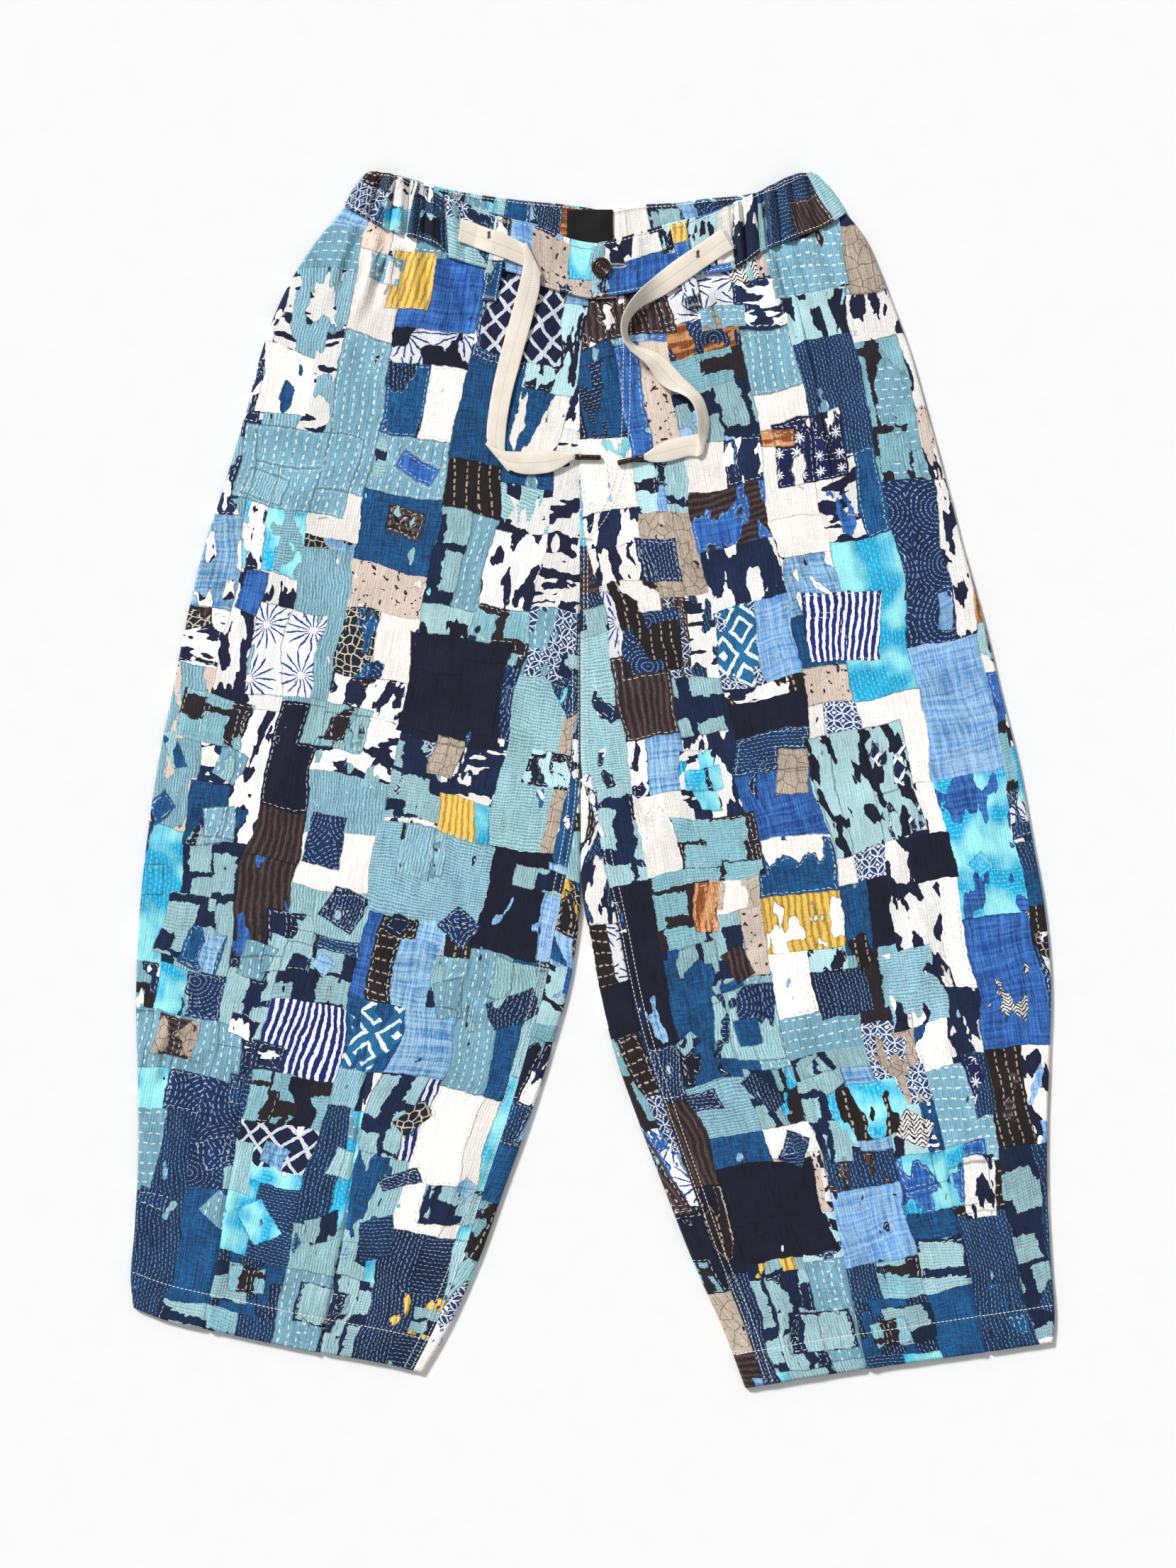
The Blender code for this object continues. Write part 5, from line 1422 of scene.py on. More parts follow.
def stitched_rings(n, at, x, y):
    far, round_wave = round_middles(n, at, 46, 0.4, 30)
    line = n("LESS_THAN", n("FLOORED_MODULO", far, 3.6), 0.8)
    return n("MULTIPLY", line, n("GREATER_THAN", round_wave, -0.3))


def nested_squares(n, at, x, y):
    far = n("TexVoronoi 2D", {0: at, 2: 1 / 34, 8: 0}, distance="MANHATTAN")
    return n("LESS_THAN", n("FLOORED_MODULO", far, 0.34), 0.11)


def cross_hatch(n, at, x, y):
    lines = []
    for flip in ((1, 1, 1), (-1, 1, 1)):
        flipped = n("VectorMath MULTIPLY", at, flip)
        wave = n("TexWave DIAGONAL", {0: flipped, 1: waves(9), 2: 1.4, 3: 1, 4: 0.4}, out=1)
        lines.append(n("GREATER_THAN", wave, 0.9))
    return n("MAXIMUM", *lines)


# %% The cloths of the patchwork
# Each row is one cloth: its ground and figure colours, what is on it, and its share of the patches. None is
# plain slub. The last list has every figure once, in the order in which they are drawn.
CLOTHS = [
    # ground, figure, filling, share
    ("#113158", "#7396b4", short_stitches, 5),
    ("#1a5f94", "#0f3560", coarse_weave, 6),
    ("#0d2448", "#8ba2b8", short_stitches, 4),
    ("#76a5b8", "#dfeef0", few_stitches, 4.5),
    ("#1aaede", "#9df0f4", washed, 4),
    ("#1f6b9c", "#f1f5f6", nested_squares, 1),
    ("#122a54", "#86a3bd", stitched_rings, 3.5),
    ("#b4d9dc", "#76a9b6", pinstripe, 4.5),
    ("#4d86bd", "#a8d0ea", check, 3),
    ("#0e2040", "#a5cdd4", striped_blobs, 8),
    ("#241c22", "#8abfcc", striped_blobs, 5),
    ("#0f1329", "#26375c", None, 5),
    ("#6698ae", "#a3cbd6", pinstripe, 4),
    ("#b6dde2", "#12182e", torn_blobs, 4),
    ("#3f78c0", "#1b4590", check, 6),
    ("#5c97d6", "#a9cff0", check, 4),
    ("#122445", "#fcf9f5", torn_blobs, 9.5),
    ("#fcf6f0", "#dccfc3", None, 12.5),
    ("#fdfaf6", "#151b3a", torn_blobs, 11),
    ("#201819", "#b9ab9e", running_stitches, 8),
    ("#2a1f22", "#54413f", cord, 5.5),
    ("#b8a898", "#7d7064", crackle, 3),
    ("#d6c3b6", "#2a2224", specks, 3),
    ("#f2cd62", "#b28330", cord, 2.2),
    ("#8a4a22", "#cf9560", brush_strokes, 1.4),
    ("#f5efe6", "#20242f", chevrons, 1),
    ("#22335f", "#d7e2ec", crossed_circles, 2.4),
    ("#131a46", "#f0f3f7", daisies, 1.2),
    ("#141c40", "#e4eaf2", cross_hatch, 1.2),
    ("#16246a", "#f2f4f8", stripes, 1),
    ("#151b26", "#c9bca8", net, 1),
    ("#f6f6f6", "#223f92", bursts, 2),
]
FIGURES = [
    None, short_stitches, running_stitches, few_stitches, coarse_weave, washed, check, pinstripe, cord,
    stripes, torn_blobs, striped_blobs, specks, brush_strokes, crackle, net, chevrons, crossed_circles,
    daisies, bursts, stitched_rings, nested_squares, cross_hatch,
]

# %% Where the patches lie
COLUMN = 50.0  # mean width of the pieced columns, mm
ROW, ROW_MORE = 32.0, 100.0  # least height of a patch in them, and how much more it may have
EDGE_PLAY = 0.56  # share of a row or a column in which its edge may lie
CUT_AT = -0.35  # where a patch is cut in two, from its middle
BORO_MIDDLE, BORO_FADE = -350, 150  # place on the print where the small patches gather, and how they thin out
BORO_HILLS, BORO_LEVEL = 210, 0.42


def boro_region(n, place_on):
    """1 where the patches are small, crowded and indigo, as a darned cloth is: mostly towards the hems."""
    field = n("TexNoise 2D", {0: place_on, 2: 1 / BORO_HILLS, 3: 0.5})
    low = n("ADD", n("SeparateXYZ", place_on, out=1), -BORO_MIDDLE)
    low = n("ABSOLUTE", n("MULTIPLY", low, 1 / BORO_FADE))
    return n("GREATER_THAN", n("MULTIPLY_ADD", low, -0.1, field), BORO_LEVEL)


def pieced_columns(n, at):
    """Columns of patches, each with its own row height: the patch's numbers, edge distance and region."""
    x, y, _ = n("SeparateXYZ", at).node.outputs
    position, size = x, COLUMN
    numbers, edges = [], []
    for axis in (0, 1):
        if axis == 1:
            shift = n("TexWhiteNoise 3D", {0: n("CombineXYZ", numbers[0], 7, 0)}, out=1)
            height, start, _ = n("SeparateXYZ", shift).node.outputs
            size = n("MULTIPLY_ADD", height, ROW_MORE, ROW)
            start = n("MULTIPLY", start, 500)
            position = n("ADD", y, start)
        steps = n("DIVIDE", position, size)
        near = n("ROUND", steps)
        jitter = n("TexWhiteNoise 3D", {0: n("CombineXYZ", near, numbers[0] if axis else 3, axis)})
        line = n("SUBTRACT", n("MULTIPLY_ADD", jitter, EDGE_PLAY, near), EDGE_PLAY / 2)
        numbers.append(n("ADD", near, n("GREATER_THAN", steps, line)))
        edges.append(n("MULTIPLY", n("ABSOLUTE", n("SUBTRACT", steps, line)), size))
    column, row = numbers
    near_edge = n("MINIMUM", *edges)

    # some patches are cut in two, along or across
    chance = n("TexWhiteNoise 3D", {0: n("CombineXYZ", column, row, 5)}, out=1)
    split, lying, where = n("SeparateXYZ", chance).node.outputs
    lying = n("GREATER_THAN", lying, 0.7)
    halves = n("Mix FLOAT", {0: lying, 2: n("MULTIPLY", x, 1 / COLUMN), 3: steps})
    place_in = n("SUBTRACT", halves, n("Mix FLOAT", {0: lying, 2: column, 3: row}))
    place_in = n("MULTIPLY_ADD", where, 0.3, place_in)
    cut = n("GREATER_THAN", place_in, CUT_AT)
    split = n("GREATER_THAN", split, 0.5)
    side = n("MULTIPLY", cut, split)
    gap = n("MULTIPLY", n("ABSOLUTE", n("ADD", place_in, -CUT_AT)), COLUMN)
    gap = n("MULTIPLY_ADD", n("SUBTRACT", 1, split), 100, gap)
    near_edge = n("MINIMUM", near_edge, gap)
    low = n("SUBTRACT", n("MULTIPLY", row, size), start)
    region = boro_region(n, n("CombineXYZ", n("MULTIPLY", column, COLUMN), low, 0))
    return n("CombineXYZ", column, row, side), near_edge, region


# Loose patches laid over the columns, in mm and radians
LAID_ON = [
    # pitch of their grid, least half size, what is added to it, turn, share, share in the boro regions
    (148, 20, 27, 0.1, 0.72, 0.3),
    (88, 9, 17, 0.2, 0.55, 0.7),
    (50, 6, 10, 1.5, 0.1, 0.8),
]


def laid_on(n, at, numbers, near_edge, region, row, seed):
    """One more layer of patches, turned and of their own sizes, over what lies below."""
    pitch, half, added, turn, share, more = row
    moved = (seed * 31.0, seed * 17.0, 0)
    steps = n("VectorMath SCALE", {0: n("VectorMath ADD", at, moved), 3: 1 / pitch})
    cell = n("VectorMath FLOOR", steps)
    marked = n("VectorMath ADD", cell, (0.25, 0.5, seed * 9.0))
    chance = n("TexWhiteNoise 3D", {0: marked}, out=1)
    again = n("TexWhiteNoise 3D", {0: chance}, out=1)
    inside = n("VectorMath SUBTRACT", steps, cell)
    middle = n("VectorMath MULTIPLY_ADD", again, (0.2, 0.2, 0), (0.4, 0.4, 0))
    away = n("VectorMath SCALE", {0: n("VectorMath SUBTRACT", inside, middle), 3: pitch})
    tilt = n("MULTIPLY_ADD", n("SeparateXYZ", chance), turn, -turn / 2)
    straight = n("VectorRotate Z_AXIS", {0: away, 3: tilt})
    sizes = n("VectorMath MULTIPLY_ADD", chance, (0, added, added), (0, half, half))
    _, half_x, half_y = n("SeparateXYZ", sizes).node.outputs
    x, y, _ = n("SeparateXYZ", n("VectorMath ABSOLUTE", straight)).node.outputs
    outside = n("MAXIMUM", n("SUBTRACT", x, half_x), n("SUBTRACT", y, half_y))
    centre = n("VectorMath SCALE", {0: n("VectorMath ADD", cell, (0.5, 0.5, 0)), 3: pitch})
    here = boro_region(n, n("VectorMath SUBTRACT", centre, moved))
    limit = n("MULTIPLY_ADD", here, more - share, share)
    there = n("GREATER_THAN", n("SeparateXYZ", again, out=2), limit)
    outside = n("MULTIPLY_ADD", there, 1000, outside)
    covered = n("LESS_THAN", outside, 0)
    numbers = n("Mix VECTOR", {0: covered, 4: numbers, 5: n("VectorMath ADD", marked, (100, 0, 0))}, out=1)
    region = n("Mix FLOAT", {0: covered, 2: region, 3: here})
    return numbers, n("MINIMUM", near_edge, n("ABSOLUTE", outside)), region


# %% The printed cotton
def cloth_ramp(n, chance, colours):
    """A colour for each cloth: steps whose widths are the cloths' shares."""
    picked = n("ValToRGB", chance)
    ramp = picked.node.color_ramp
    ramp.interpolation = "CONSTANT"
    ramp.elements.remove(ramp.elements[1])
    total = sum(row[3] for row in CLOTHS)
    at = 0.0
    for k, (row, colour) in enumerate(zip(CLOTHS, colours)):
        element = ramp.elements[k] if k < 1 else ramp.elements.new(at)
        element.position = at
        element.color = colour
        at += row[3] / total
    return picked


def make_print(name):
    """Slub cotton with a printed patchwork: the weave shows as fine ribs, the print as flat colour on it."""
    material, n = new_material(name)
    flat = on_cloth(n)

    # hand-cut patches have wavy and slightly torn edges
    wave = n("TexNoise 2D", {0: flat, 2: 1 / 70, 3: 1}, out=1)
    torn = n("TexNoise 2D", {0: flat, 2: 1 / 9, 3: 3, 4: 0.6}, out=1)
    bent = n("VectorMath MULTIPLY_ADD", wave, (16, 16, 0), flat)
    bent = n("VectorMath MULTIPLY_ADD", torn, (3.4, 3.4, 0), bent)
    numbers, near_edge, region = pieced_columns(n, bent)
    for seed, row in enumerate(LAID_ON, 1):
        numbers, near_edge, region = laid_on(n, bent, numbers, near_edge, region, row, seed)

    # some patches are worn through, and another cloth shows in the tear
    worn = n("TexWhiteNoise 3D", {0: n("VectorMath ADD", numbers, (9.5, 3.5, 1.5))})
    field = stretched_noise(n, bent, 19, 40, 2.5)
    limit = n("MapRange", worn, 0.35, 1.0, 0.75, 0.47)
    over = n("SUBTRACT", field, limit)
    hole = n("GREATER_THAN", over, 0)
    numbers = n("VectorMath MULTIPLY_ADD", n("CombineXYZ", 0, 0, hole), (0, 0, 50.5), numbers)
    rim = n("MULTIPLY", n("ABSOLUTE", over), 60)
    near_edge = n("MINIMUM", near_edge, rim)

    chances = n("TexWhiteNoise 3D", {0: numbers}, out=1)
    chance, second, third = n("SeparateXYZ", chances).node.outputs
    chance = n("MULTIPLY", chance, n("MULTIPLY_ADD", region, -0.64, 1.0))
    ground = cloth_ramp(n, chance, [srgb(row[0]) for row in CLOTHS])
    figure = cloth_ramp(n, chance, [srgb(row[1]) for row in CLOTHS])
    levels = [FIGURES.index(row[2]) / len(FIGURES) for row in CLOTHS]
    kind = cloth_ramp(n, chance, [(level, level, level, 1) for level in levels])

    # each patch is laid with its own lean, and some lie across the grain
    across = n("GREATER_THAN", second, 0.72)
    tilt = n("MULTIPLY_ADD", across, math.pi / 2, n("MULTIPLY_ADD", third, 0.3, -0.15))
    local = n("VectorRotate Z_AXIS", {0: bent, 3: tilt})
    local = n("VectorMath MULTIPLY_ADD", chances, (90, 90, 0), local)
    x, y, _ = n("SeparateXYZ", local).node.outputs
    mask = 0.0
    for index, draw in enumerate(FIGURES[1:], 1):
        drawn = draw(n, local, x, y)
        chosen = n("COMPARE", kind, index / len(FIGURES), 0.4 / len(FIGURES))
        mask = n("MULTIPLY_ADD", drawn, chosen, mask)
    colour = n("Mix RGBA", {0: mask, 6: ground, 7: figure}, out=2)

    # some patches are darker than others of the same cloth, and many have a thin shade round them
    tone = n("MULTIPLY_ADD", third, 0.3, 0.86)
    shaded = n("LESS_THAN", second, 0.5)
    outline = n("MULTIPLY", n("MapRange", near_edge, 0.3, 0.8, 0.5, 0), shaded)
    tone = n("MULTIPLY", n("SUBTRACT", 1, outline), tone)
    colour = n("VectorMath SCALE", {0: colour, 3: tone})

    # a row of fine printed stitches runs inside some edges
    seam = n("COMPARE", near_edge, 1.9, 0.26)
    stitched = n("GREATER_THAN", third, 0.66)
    dash = n("LESS_THAN", n("FLOORED_MODULO", n("ADD", x, y), 5.0), 2.9)
    seam = n("MULTIPLY", n("MULTIPLY", seam, dash), stitched)
    colour = n("Mix RGBA", {0: seam, 6: colour, 7: srgb("#c9cdce")}, out=2)

    # slub: uneven threads, mostly down the cloth, slow fading, and ribs. The dye takes unevenly where it
    # is dark
    down = stretched_noise(n, flat, 1.1, 30, 2)
    slub = threads(n, flat, 0.8, 7)
    fade = n("TexNoise 2D", {0: flat, 2: 1 / 26, 3: 3})
    rib = n("TexWave X", {0: flat, 1: waves(2.1), 2: 0.3, 3: 1}, out=1)
    uneven = n("ADD", slub, n("MapRange", down, 0.28, 0.72, 0, 1.3))
    uneven = n("ADD", n("MapRange", fade, 0.28, 0.72, 0, 0.7), uneven)
    uneven = n("ADD", n("MULTIPLY", rib, 0.35), uneven)
    light = n("VectorMath DOT_PRODUCT", colour, (0.2, 0.7, 0.1), out=1)
    reach = n("MapRange", light, 0.02, 0.7, 0.56, 0.16)
    shade = n("MULTIPLY_ADD", n("SUBTRACT", uneven, 1.6), reach, 1.0)
    colour = n("VectorMath SCALE", {0: colour, 3: shade})

    # the same ribs and slubs stand up a little from the cloth
    raised = n("MULTIPLY_ADD", slub, 1.4, rib)
    raised = n("MULTIPLY_ADD", down, 1.6, raised)
    print(name, "has", len(material.node_tree.nodes), "nodes")
    return set_surface(material, Base_Color=colour, Roughness=0.82, Specular_IOR_Level=0.3, Sheen_Weight=0.12,
                       Sheen_Roughness=0.5, Normal=n("Bump", {0: 0.55, 1: 0.0002, 3: raised}))


# %% [markdown]
# ## Finishes of the trim
#
# The thread is polyester, a little shiny. The tape is cotton in herringbone weave, so its face has slanting
# ribs that change their way every few millimetres, with a painted highlight on them and painted shade
# between.
# The tape ends are brass, darkened to bronze and rubbed lighter in places. The button is turned from brown
# resin and polished, with a painted highlight on its raised ring. The label is woven in black.

# %% Trim materials
RIB_PITCH, RIB_TURN = 1.5, 4.4  # the tape's ribs: how far apart they are drawn, and where they turn back, mm
TURNING_MARKS = 0.55 * MM  # pitch of the fine rings on the button
# painted highlight: a lighter ring painted on the button's raised ring, between these distances from the
# middle
PAINTED_HIGHLIGHT_RING = (3.8 * MM, 4.6 * MM)  # where its lighter ring starts and ends, from the middle


def make_thread(name, colour):
    """Polyester thread: a soft shine on a finely uneven face."""
    material, n = new_material(name)
    fine = n("TexNoise", {0: n("TexCoord", out=3), 2: 900, 3: 1})
    lit = n("MapRange", fine, 0.3, 0.7, 0.86, 1.05)
    lit = n("VectorMath SCALE", {0: srgb(colour)[:3], 3: lit})
    return set_surface(material, Base_Color=lit, Roughness=0.5, Sheen_Weight=0.2,
                       Normal=n("Bump", {0: 0.4, 1: 0.0001, 3: fine}))


def make_herringbone(name):
    """Cotton herringbone tape: slanting ribs that turn back again and again, with painted highlight and
    shade.
    """
    material, n = new_material(name)
    flat = on_cloth(n)
    x, y, _ = n("SeparateXYZ", flat).node.outputs
    slant = n("MULTIPLY_ADD", n("PINGPONG", x, RIB_TURN), 1.25, y)
    rib = n("SINE", n("MULTIPLY", slant, 2 * math.pi / RIB_PITCH))
    rib = n("MapRange", rib, -1, 1, 0, 1)
    turn = n("COMPARE", n("PINGPONG", x, RIB_TURN), 0.0, 0.35)
    fuzz = n("TexNoise 2D", {0: flat, 2: 2.2, 3: 2.0})
    shade = n("TexNoise 2D", {0: flat, 2: 0.05, 3: 1.0})
    raised = n("MULTIPLY_ADD", fuzz, 0.7, rib)
    raised = n("MULTIPLY_ADD", turn, -0.5, raised)
    # painted light: a painted highlight on the ribs' tops, painted shade in their grooves and along the turns
    light = n("MapRange", raised, 0.2, 1.1, 0.0, 1.0)
    # the two colours are the tape in shade and the tape in the light
    colour = n("Mix RGBA", {0: light, 6: srgb("#dccbb4"), 7: srgb("#fff8ec")}, out=2)
    colour = n("VectorMath SCALE", {0: colour, 3: n("MapRange", shade, 0.3, 0.7, 0.93, 1.03)})
    return set_surface(material, Base_Color=colour, Roughness=0.86, Sheen_Weight=0.15, Sheen_Roughness=0.5,
                       Normal=n("Bump", {0: 0.6, 1: 0.00022, 3: raised}))


def make_bronze(name):
    """Brass tube, chemically darkened, brushed along its length and rubbed brown-gold in places."""
    material, n = new_material(name)
    at = n("TexCoord", out=3)
    stain = n("TexNoise", {0: at, 2: 420.0, 3: 3.0})
    brushed = n("TexNoise", {0: n("VectorMath MULTIPLY", at, (150, 2600, 2600)), 2: 1.0, 3: 1.0})
    rub = n("ADD", stain, brushed)
    rub = n("MapRange", rub, 0.85, 1.25, 0, 1)
    colour = n("Mix RGBA", {0: rub, 6: srgb("#25211f"), 7: srgb("#5f524a")}, out=2)
    return set_surface(material, Base_Color=colour, Metallic=0.85,
                       Roughness=n("MapRange", stain, 0.3, 0.7, 0.28, 0.5),
                       Normal=n("Bump", {0: 0.3, 1: 0.00005, 3: brushed}))


def make_resin(name):
    """Brown resin, turned and tumbled: clouded, fine turning marks, a painted highlight ring and a high
    gloss.
    """
    material, n = new_material(name)
    at = n("TexCoord", out=3)
    centre = tuple(place([*BUTTON_AT, 0.0]))
    away = n("VectorMath MULTIPLY", n("VectorMath SUBTRACT", at, centre), (1, 1, 0))
    far = n("VectorMath LENGTH", away, out=1)
    rings = n("SINE", n("MULTIPLY", far, 2 * math.pi / TURNING_MARKS))
    cloud = n("TexNoise", {0: at, 2: 260.0, 3: 3.0})
    light = n("MapRange", cloud, 0.35, 0.7, 0, 1)
    colour = n("Mix RGBA", {0: light, 6: srgb("#170c09"), 7: srgb("#38201a")}, out=2)
    # painted highlight on the raised ring of the button's face
    ridge = n("MapRange", far, *PAINTED_HIGHLIGHT_RING, 0, 1)
    bright = n("COMPARE", ridge, 0.5, 0.28)
    colour = n("Mix RGBA", {0: n("MULTIPLY", bright, 0.55), 6: colour, 7: srgb("#8a5c4e")}, out=2)
    return set_surface(material, Base_Color=colour, Roughness=0.22, IOR=1.54, Coat_Weight=0.6,
                       Coat_Roughness=0.08, Normal=n("Bump", {0: 0.2, 1: 0.00004, 3: rings}))


def make_damask(name):
    """Black polyester satin: a tight slanting weave with a low shine."""
    material, n = new_material(name)
    flat = on_cloth(n)
    twill = n("TexWave DIAGONAL", {0: flat, 1: waves(1.0), 2: 0.4}, out=1)
    weft = n("TexWave Y", {0: flat, 1: waves(0.8), 2: 0.3}, out=1)
    raised = n("ADD", twill, weft)
    fade = n("TexNoise 2D", {0: flat, 2: 0.12, 3: 2.0})
    light = n("ADD", n("MapRange", raised, 0, 2, 0, 0.8), n("MapRange", fade, 0.3, 0.7, 0, 0.4))
    colour = n("Mix RGBA", {0: light, 6: srgb("#050506"), 7: srgb("#131316")}, out=2)
    return set_surface(material, Base_Color=colour, Roughness=0.6, Specular_IOR_Level=0.25,
                       Normal=n("Bump", {0: 0.5, 1: 0.00012, 3: raised}))


# %% [markdown]
# ## Making the garment
#
# The cloth comes first, because the rest is laid on it: the tapes, the button and then the thread.

# %% Cloth pieces
PRINT = make_print("printed slub cotton")
cloth = {}
for side in SIDES:
    cloth[f"front_{side}"] = make_front(side, PRINT)
    cloth[f"back_{side}"] = make_back(side, PRINT)
    cloth[f"band_front_{side}"] = make_band_front(side, PRINT)
cloth["band_back"] = make_band_back(PRINT)
CLOTH_FACE = surface_below(cloth.values())
for side in SIDES:
    cloth[f"belt_loop_{side}"] = make_loop(side, CLOTH_FACE, PRINT)
cloth["label"] = make_label(surface_below([cloth["band_back"]]), make_damask("black woven damask"))

# %% Tapes, tape ends and button
HERRINGBONE = make_herringbone("cotton herringbone tape")
BRONZE = make_bronze("darkened brass")
TAPE_BED = surface_below([piece for node, piece in cloth.items() if node != "label"])
tapes, routes, aglets = {}, {}, {}
for side in SIDES:
    tapes[side], routes[side] = make_tape(side, TAPE_BED, HERRINGBONE)
    aglets[side] = make_aglet(side, TAPE_BED, BRONZE)
    print(f"tape_{side}:", round(line_length(routes[side])), "mm")
button = make_button(TAPE_BED, make_resin("polished brown resin"))

# %% Topstitching
WHITE_THREAD = make_thread("white polyester thread", "#f3eee6")
DARK_THREAD = make_thread("dark polyester thread", "#1c191c")
STITCHES, THREADS = stitch_tree(), thread_tree()
panels = surface_below([cloth[f"{part}_{side}"] for part in ("front", "back") for side in SIDES])
bands = surface_below([cloth["band_front_left"], cloth["band_front_right"], cloth["band_back"]])
loops = surface_below([cloth["belt_loop_left"], cloth["belt_loop_right"]])

leg_paths = [sewn(line, panels) for line in fly_and_leg_lines()]
leg_paths += [sewn_under(line, panels) for line in hidden_lines()]
edge = BAND_STITCH / BAND_TALL
band_paths = []
for at in (edge, 1 - edge):
    for side in SIDES:
        first = 0.02 if side == "right" else 0.0
        last = 1.0 if side == "right" else 0.9
        band_paths.append(sewn(band_lines(BAND_FRONT[side], at, first, last), bands))
        band_paths.append(sewn(band_lines(BAND_ELASTIC[side], at, 0.0, 0.98), bands))
back_inside = surface_below([cloth["band_back"]])
band_paths.append(sewn(band_lines(BAND_ELASTIC["back"], 1 - edge, 0.04, 0.96), back_inside))
for at in (edge, 1 - edge):
    band_paths.append(sewn_under(band_lines(BAND_ELASTIC["back"], at, 0.02, 0.98), back_inside))
front_end = [(2.0, 376.5), (2.0, 396), (-0.2, 402), (1.2, 410), (4.5, 415.5)]
band_paths.append(sewn(front_end, bands))
loop_paths = []
for side in SIDES:
    start, end, run, aside = directions(*LOOPS[side])
    for away in (LOOP_STITCH - LOOP_WIDTH / 2, LOOP_WIDTH / 2 - LOOP_STITCH):
        loop_paths.append(sewn([start + aside * away + run * 2, end + aside * away - run * 2], loops))
stitches = {
    "topstitch_panels": sew("topstitch_panels", leg_paths, STITCHES, WHITE_THREAD),
    "topstitch_bands": sew("topstitch_bands", band_paths, STITCHES, WHITE_THREAD),
    "topstitch_loops": sew("topstitch_loops", loop_paths, STITCHES, WHITE_THREAD,
                           Pitch=2.6, Length=2.1, Thickness=0.55),
}

# %% Bartacks, buttonhole and frayed ends
# short tacks at the ends of both pocket mouths and of the fly
POCKET_TACKS = {"left": ((-214, 203), (-206, 204)), "right": ((199.5, 205.5), (207.5, 205))}
FLY_TACK = ((-8.5, 188), (0.5, 186))
HOLE_AT, HOLE_HALF = (18.6, 399.0), 6.6  # middle of the buttonhole and half of its slit
HOLE_EDGE, HOLE_ZIGZAG, HOLE_TURNS = 1.5, 0.75, 150  # its thread: distance out, swing, turning points
FRAYS, FRAY_LENGTH, FRAY_SWING = 30, (1.4, 3.6), (-0.5, 0.5)  # loose threads at a tape's end
top_face = surface_below([*cloth.values(), *tapes.values()])
tacks = []
for side in SIDES:
    start, end, run, aside = directions(*LOOPS[side])
    half = aside * (LOOP_WIDTH / 2 - 1.0)
    for middle in (start + run * 3, end - run * 3):
        tacks.append(bartack(middle - half, middle + half, 2.2, top_face))
for start, end in (POCKET_TACKS["left"], POCKET_TACKS["right"], FLY_TACK):
    tacks.append(bartack(start, end, 1.8, top_face))
hole = []
for turn in np.linspace(0, 2 * np.pi, HOLE_TURNS):
    out = HOLE_EDGE + HOLE_ZIGZAG * (1 if len(hole) % 2 else -1)
    x = HOLE_AT[0] + HOLE_HALF * np.cos(turn) + out * np.cos(turn)
    y = HOLE_AT[1] + out * np.sin(turn)
    hole.append((x, y, drop(top_face, x, y) + 0.2))
tacks.append(hole)
knots = []
for x, y in TAPE_KNOTS.values():
    knots.append(bartack((x - 0.6, y - 2.8), (x + 0.6, y + 2.8), 1.8, top_face, lift=0.3))
    knots.append(bartack((x + 0.8, y - 2.2), (x - 0.7, y + 2.4), 1.4, top_face, lift=0.6))
rng = np.random.default_rng(7)
frays = []
for side in SIDES:
    a, b, aside, _ = directions(TAPES[side][0][0:2], TAPES[side][0][2:4])
    back = directions(TAPES[side][1][0:2], a)[2]
    level = max(drop(top_face, *(a + f * (b - a) - back * 2)) for f in (0.3, 0.5, 0.7))
    for part in np.linspace(0.02, 0.98, FRAYS):
        root = a + part * (b - a) - back * 0.6
        reach, swing = rng.uniform(*FRAY_LENGTH), rng.uniform(*FRAY_SWING)
        frays.append([(*(root + back * reach * f + aside * swing * reach * f * f), level - 0.45 - 0.5 * f * f)
                      for f in np.linspace(0, 1, 5)])
stitches["bartacks"] = sew("bartacks", tacks, THREADS, WHITE_THREAD, Radius=0.4)
stitches["tape_knots"] = sew("tape_knots", knots, THREADS, DARK_THREAD, Radius=0.34)
stitches["tape_frays"] = sew("tape_frays", frays, THREADS, WHITE_THREAD, Radius=0.14)

# %% [markdown]
# ## Floor and light
#
# The picture is a cut-out on white, so the floor is plain and pale, and the light is a bright room with one
# large soft lamp from the upper left. It shows the folds by gentle shade and leaves the print its colours.

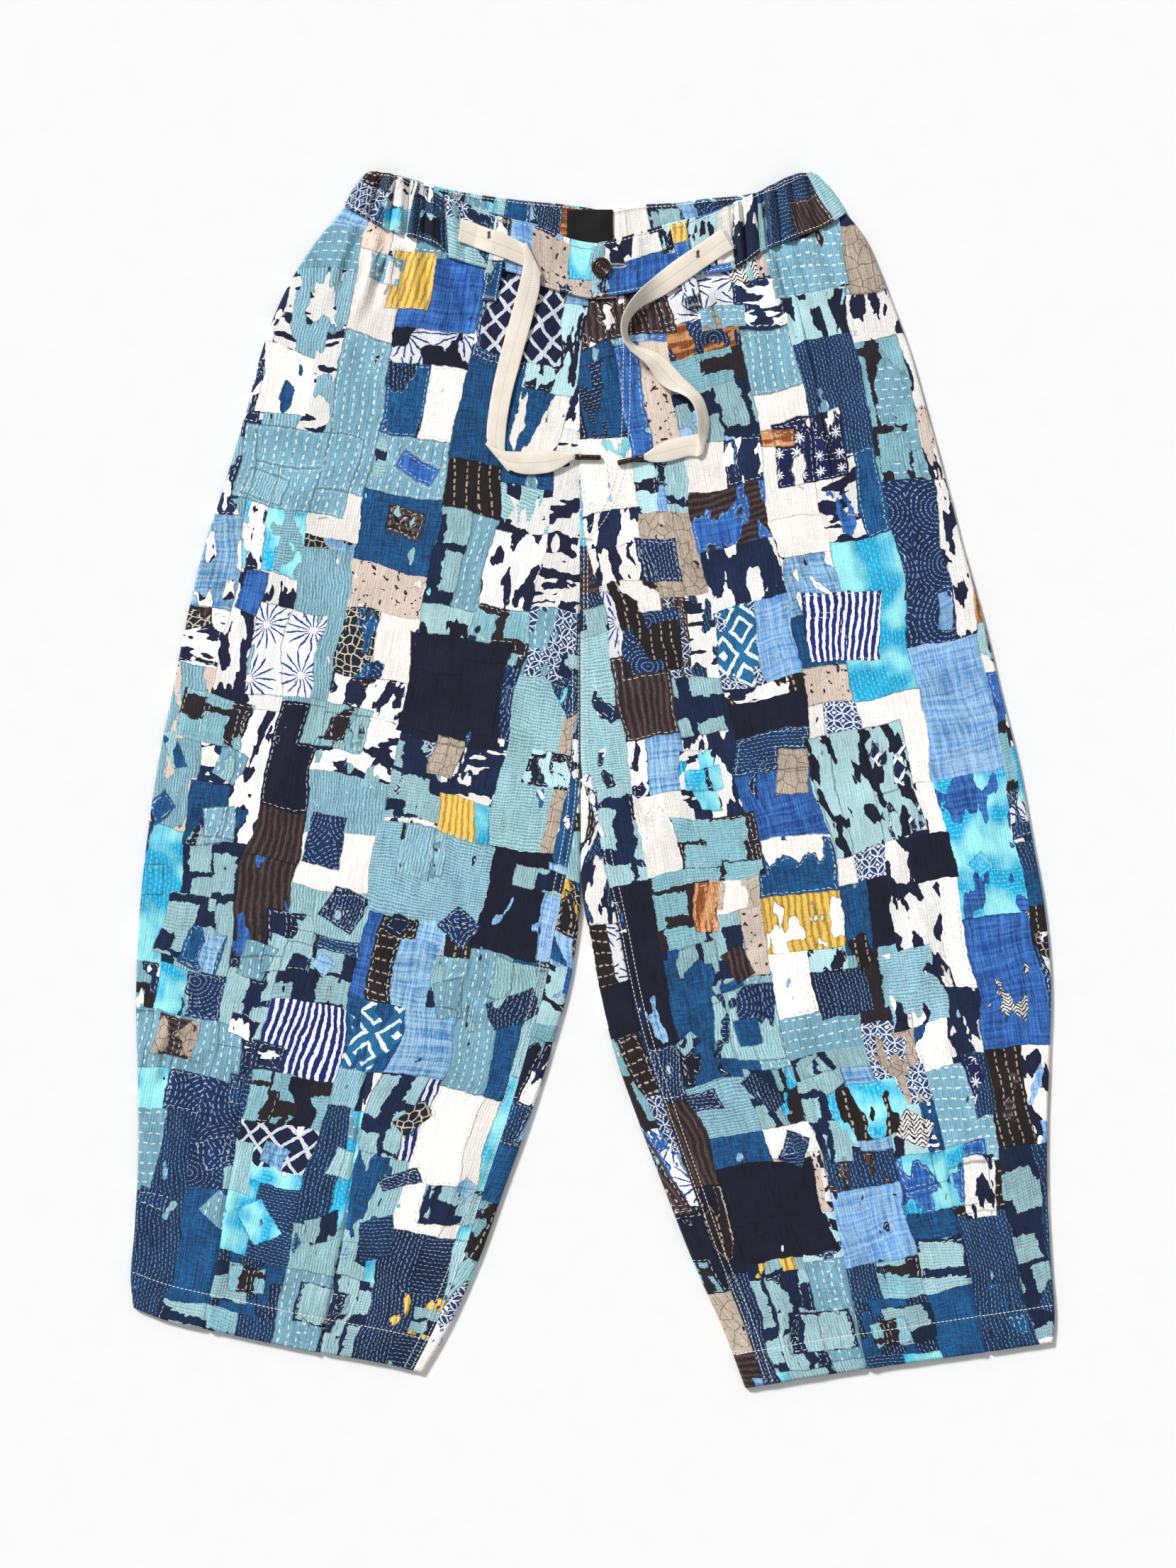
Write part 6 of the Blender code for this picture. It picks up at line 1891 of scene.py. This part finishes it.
# %% Floor, light and colour
ROOM_STRENGTH, LAMP_STRENGTH = 0.42, 3.15
LAMP_WIDTH, LAMP_TURN = 11, (-36, -38, 0)  # degrees
floor_mesh = bpy.data.meshes.new("floor")
floor_mesh.from_pydata([(-4, -4, 0), (4, -4, 0), (4, 4, 0), (-4, 4, 0)], [], [(0, 1, 2, 3)])
floor = add_object("floor", floor_mesh)
paper, n = new_material("matt white paper")
fibre = n("TexNoise", {0: n("TexCoord", out=3), 2: 40, 3: 2})
tone = n("MapRange", fibre, 0.3, 0.7, 0.90, 0.92)
tone = n("CombineColor", tone, tone, tone)
floor.data.materials.append(set_surface(paper, Base_Color=tone, Roughness=0.95))

world = bpy.data.worlds.new("bright room")
bpy.context.scene.world = world
world.use_nodes = True
world.node_tree.nodes["Background"].inputs[0].default_value = (1.0, 1.0, 1.0, 1.0)
world.node_tree.nodes["Background"].inputs[1].default_value = ROOM_STRENGTH
lamp = add_object("window light", bpy.data.lights.new("window light", "SUN"))
lamp.data.energy = LAMP_STRENGTH
lamp.data.angle = math.radians(LAMP_WIDTH)
lamp.rotation_euler = [math.radians(turn) for turn in LAMP_TURN]
bpy.context.scene.view_settings.view_transform = "Standard"

# %% [markdown]
# ## What each piece is
#
# Last, each piece is tied to the frame: it rides on the one body, has its finish and, unless it is thread,
# stands for its node. The area and the triangles of each piece of cloth are printed.


def tie(piece, node=None):
    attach(piece, "root")
    if node:
        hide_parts(node)


for node, piece in cloth.items():
    area = sum(face.area for face in piece.data.polygons) / 2
    triangles = sum(len(face.vertices) - 2 for face in piece.data.polygons)
    print(node, "area", round(area, 4), "m2,", triangles, "triangles")
    tie(piece, node)
for side in SIDES:
    tie(tapes[side], f"tape_{side}")
    tie(aglets[side], f"aglet_{side}")
tie(button, "button")
for piece in stitches.values():
    tie(piece)

# %% Size
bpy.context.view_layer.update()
meshes = [item.data for item in bpy.data.objects if item.type == "MESH"]
print("triangles in all:", sum(len(face.vertices) - 2 for mesh in meshes for face in mesh.polygons))
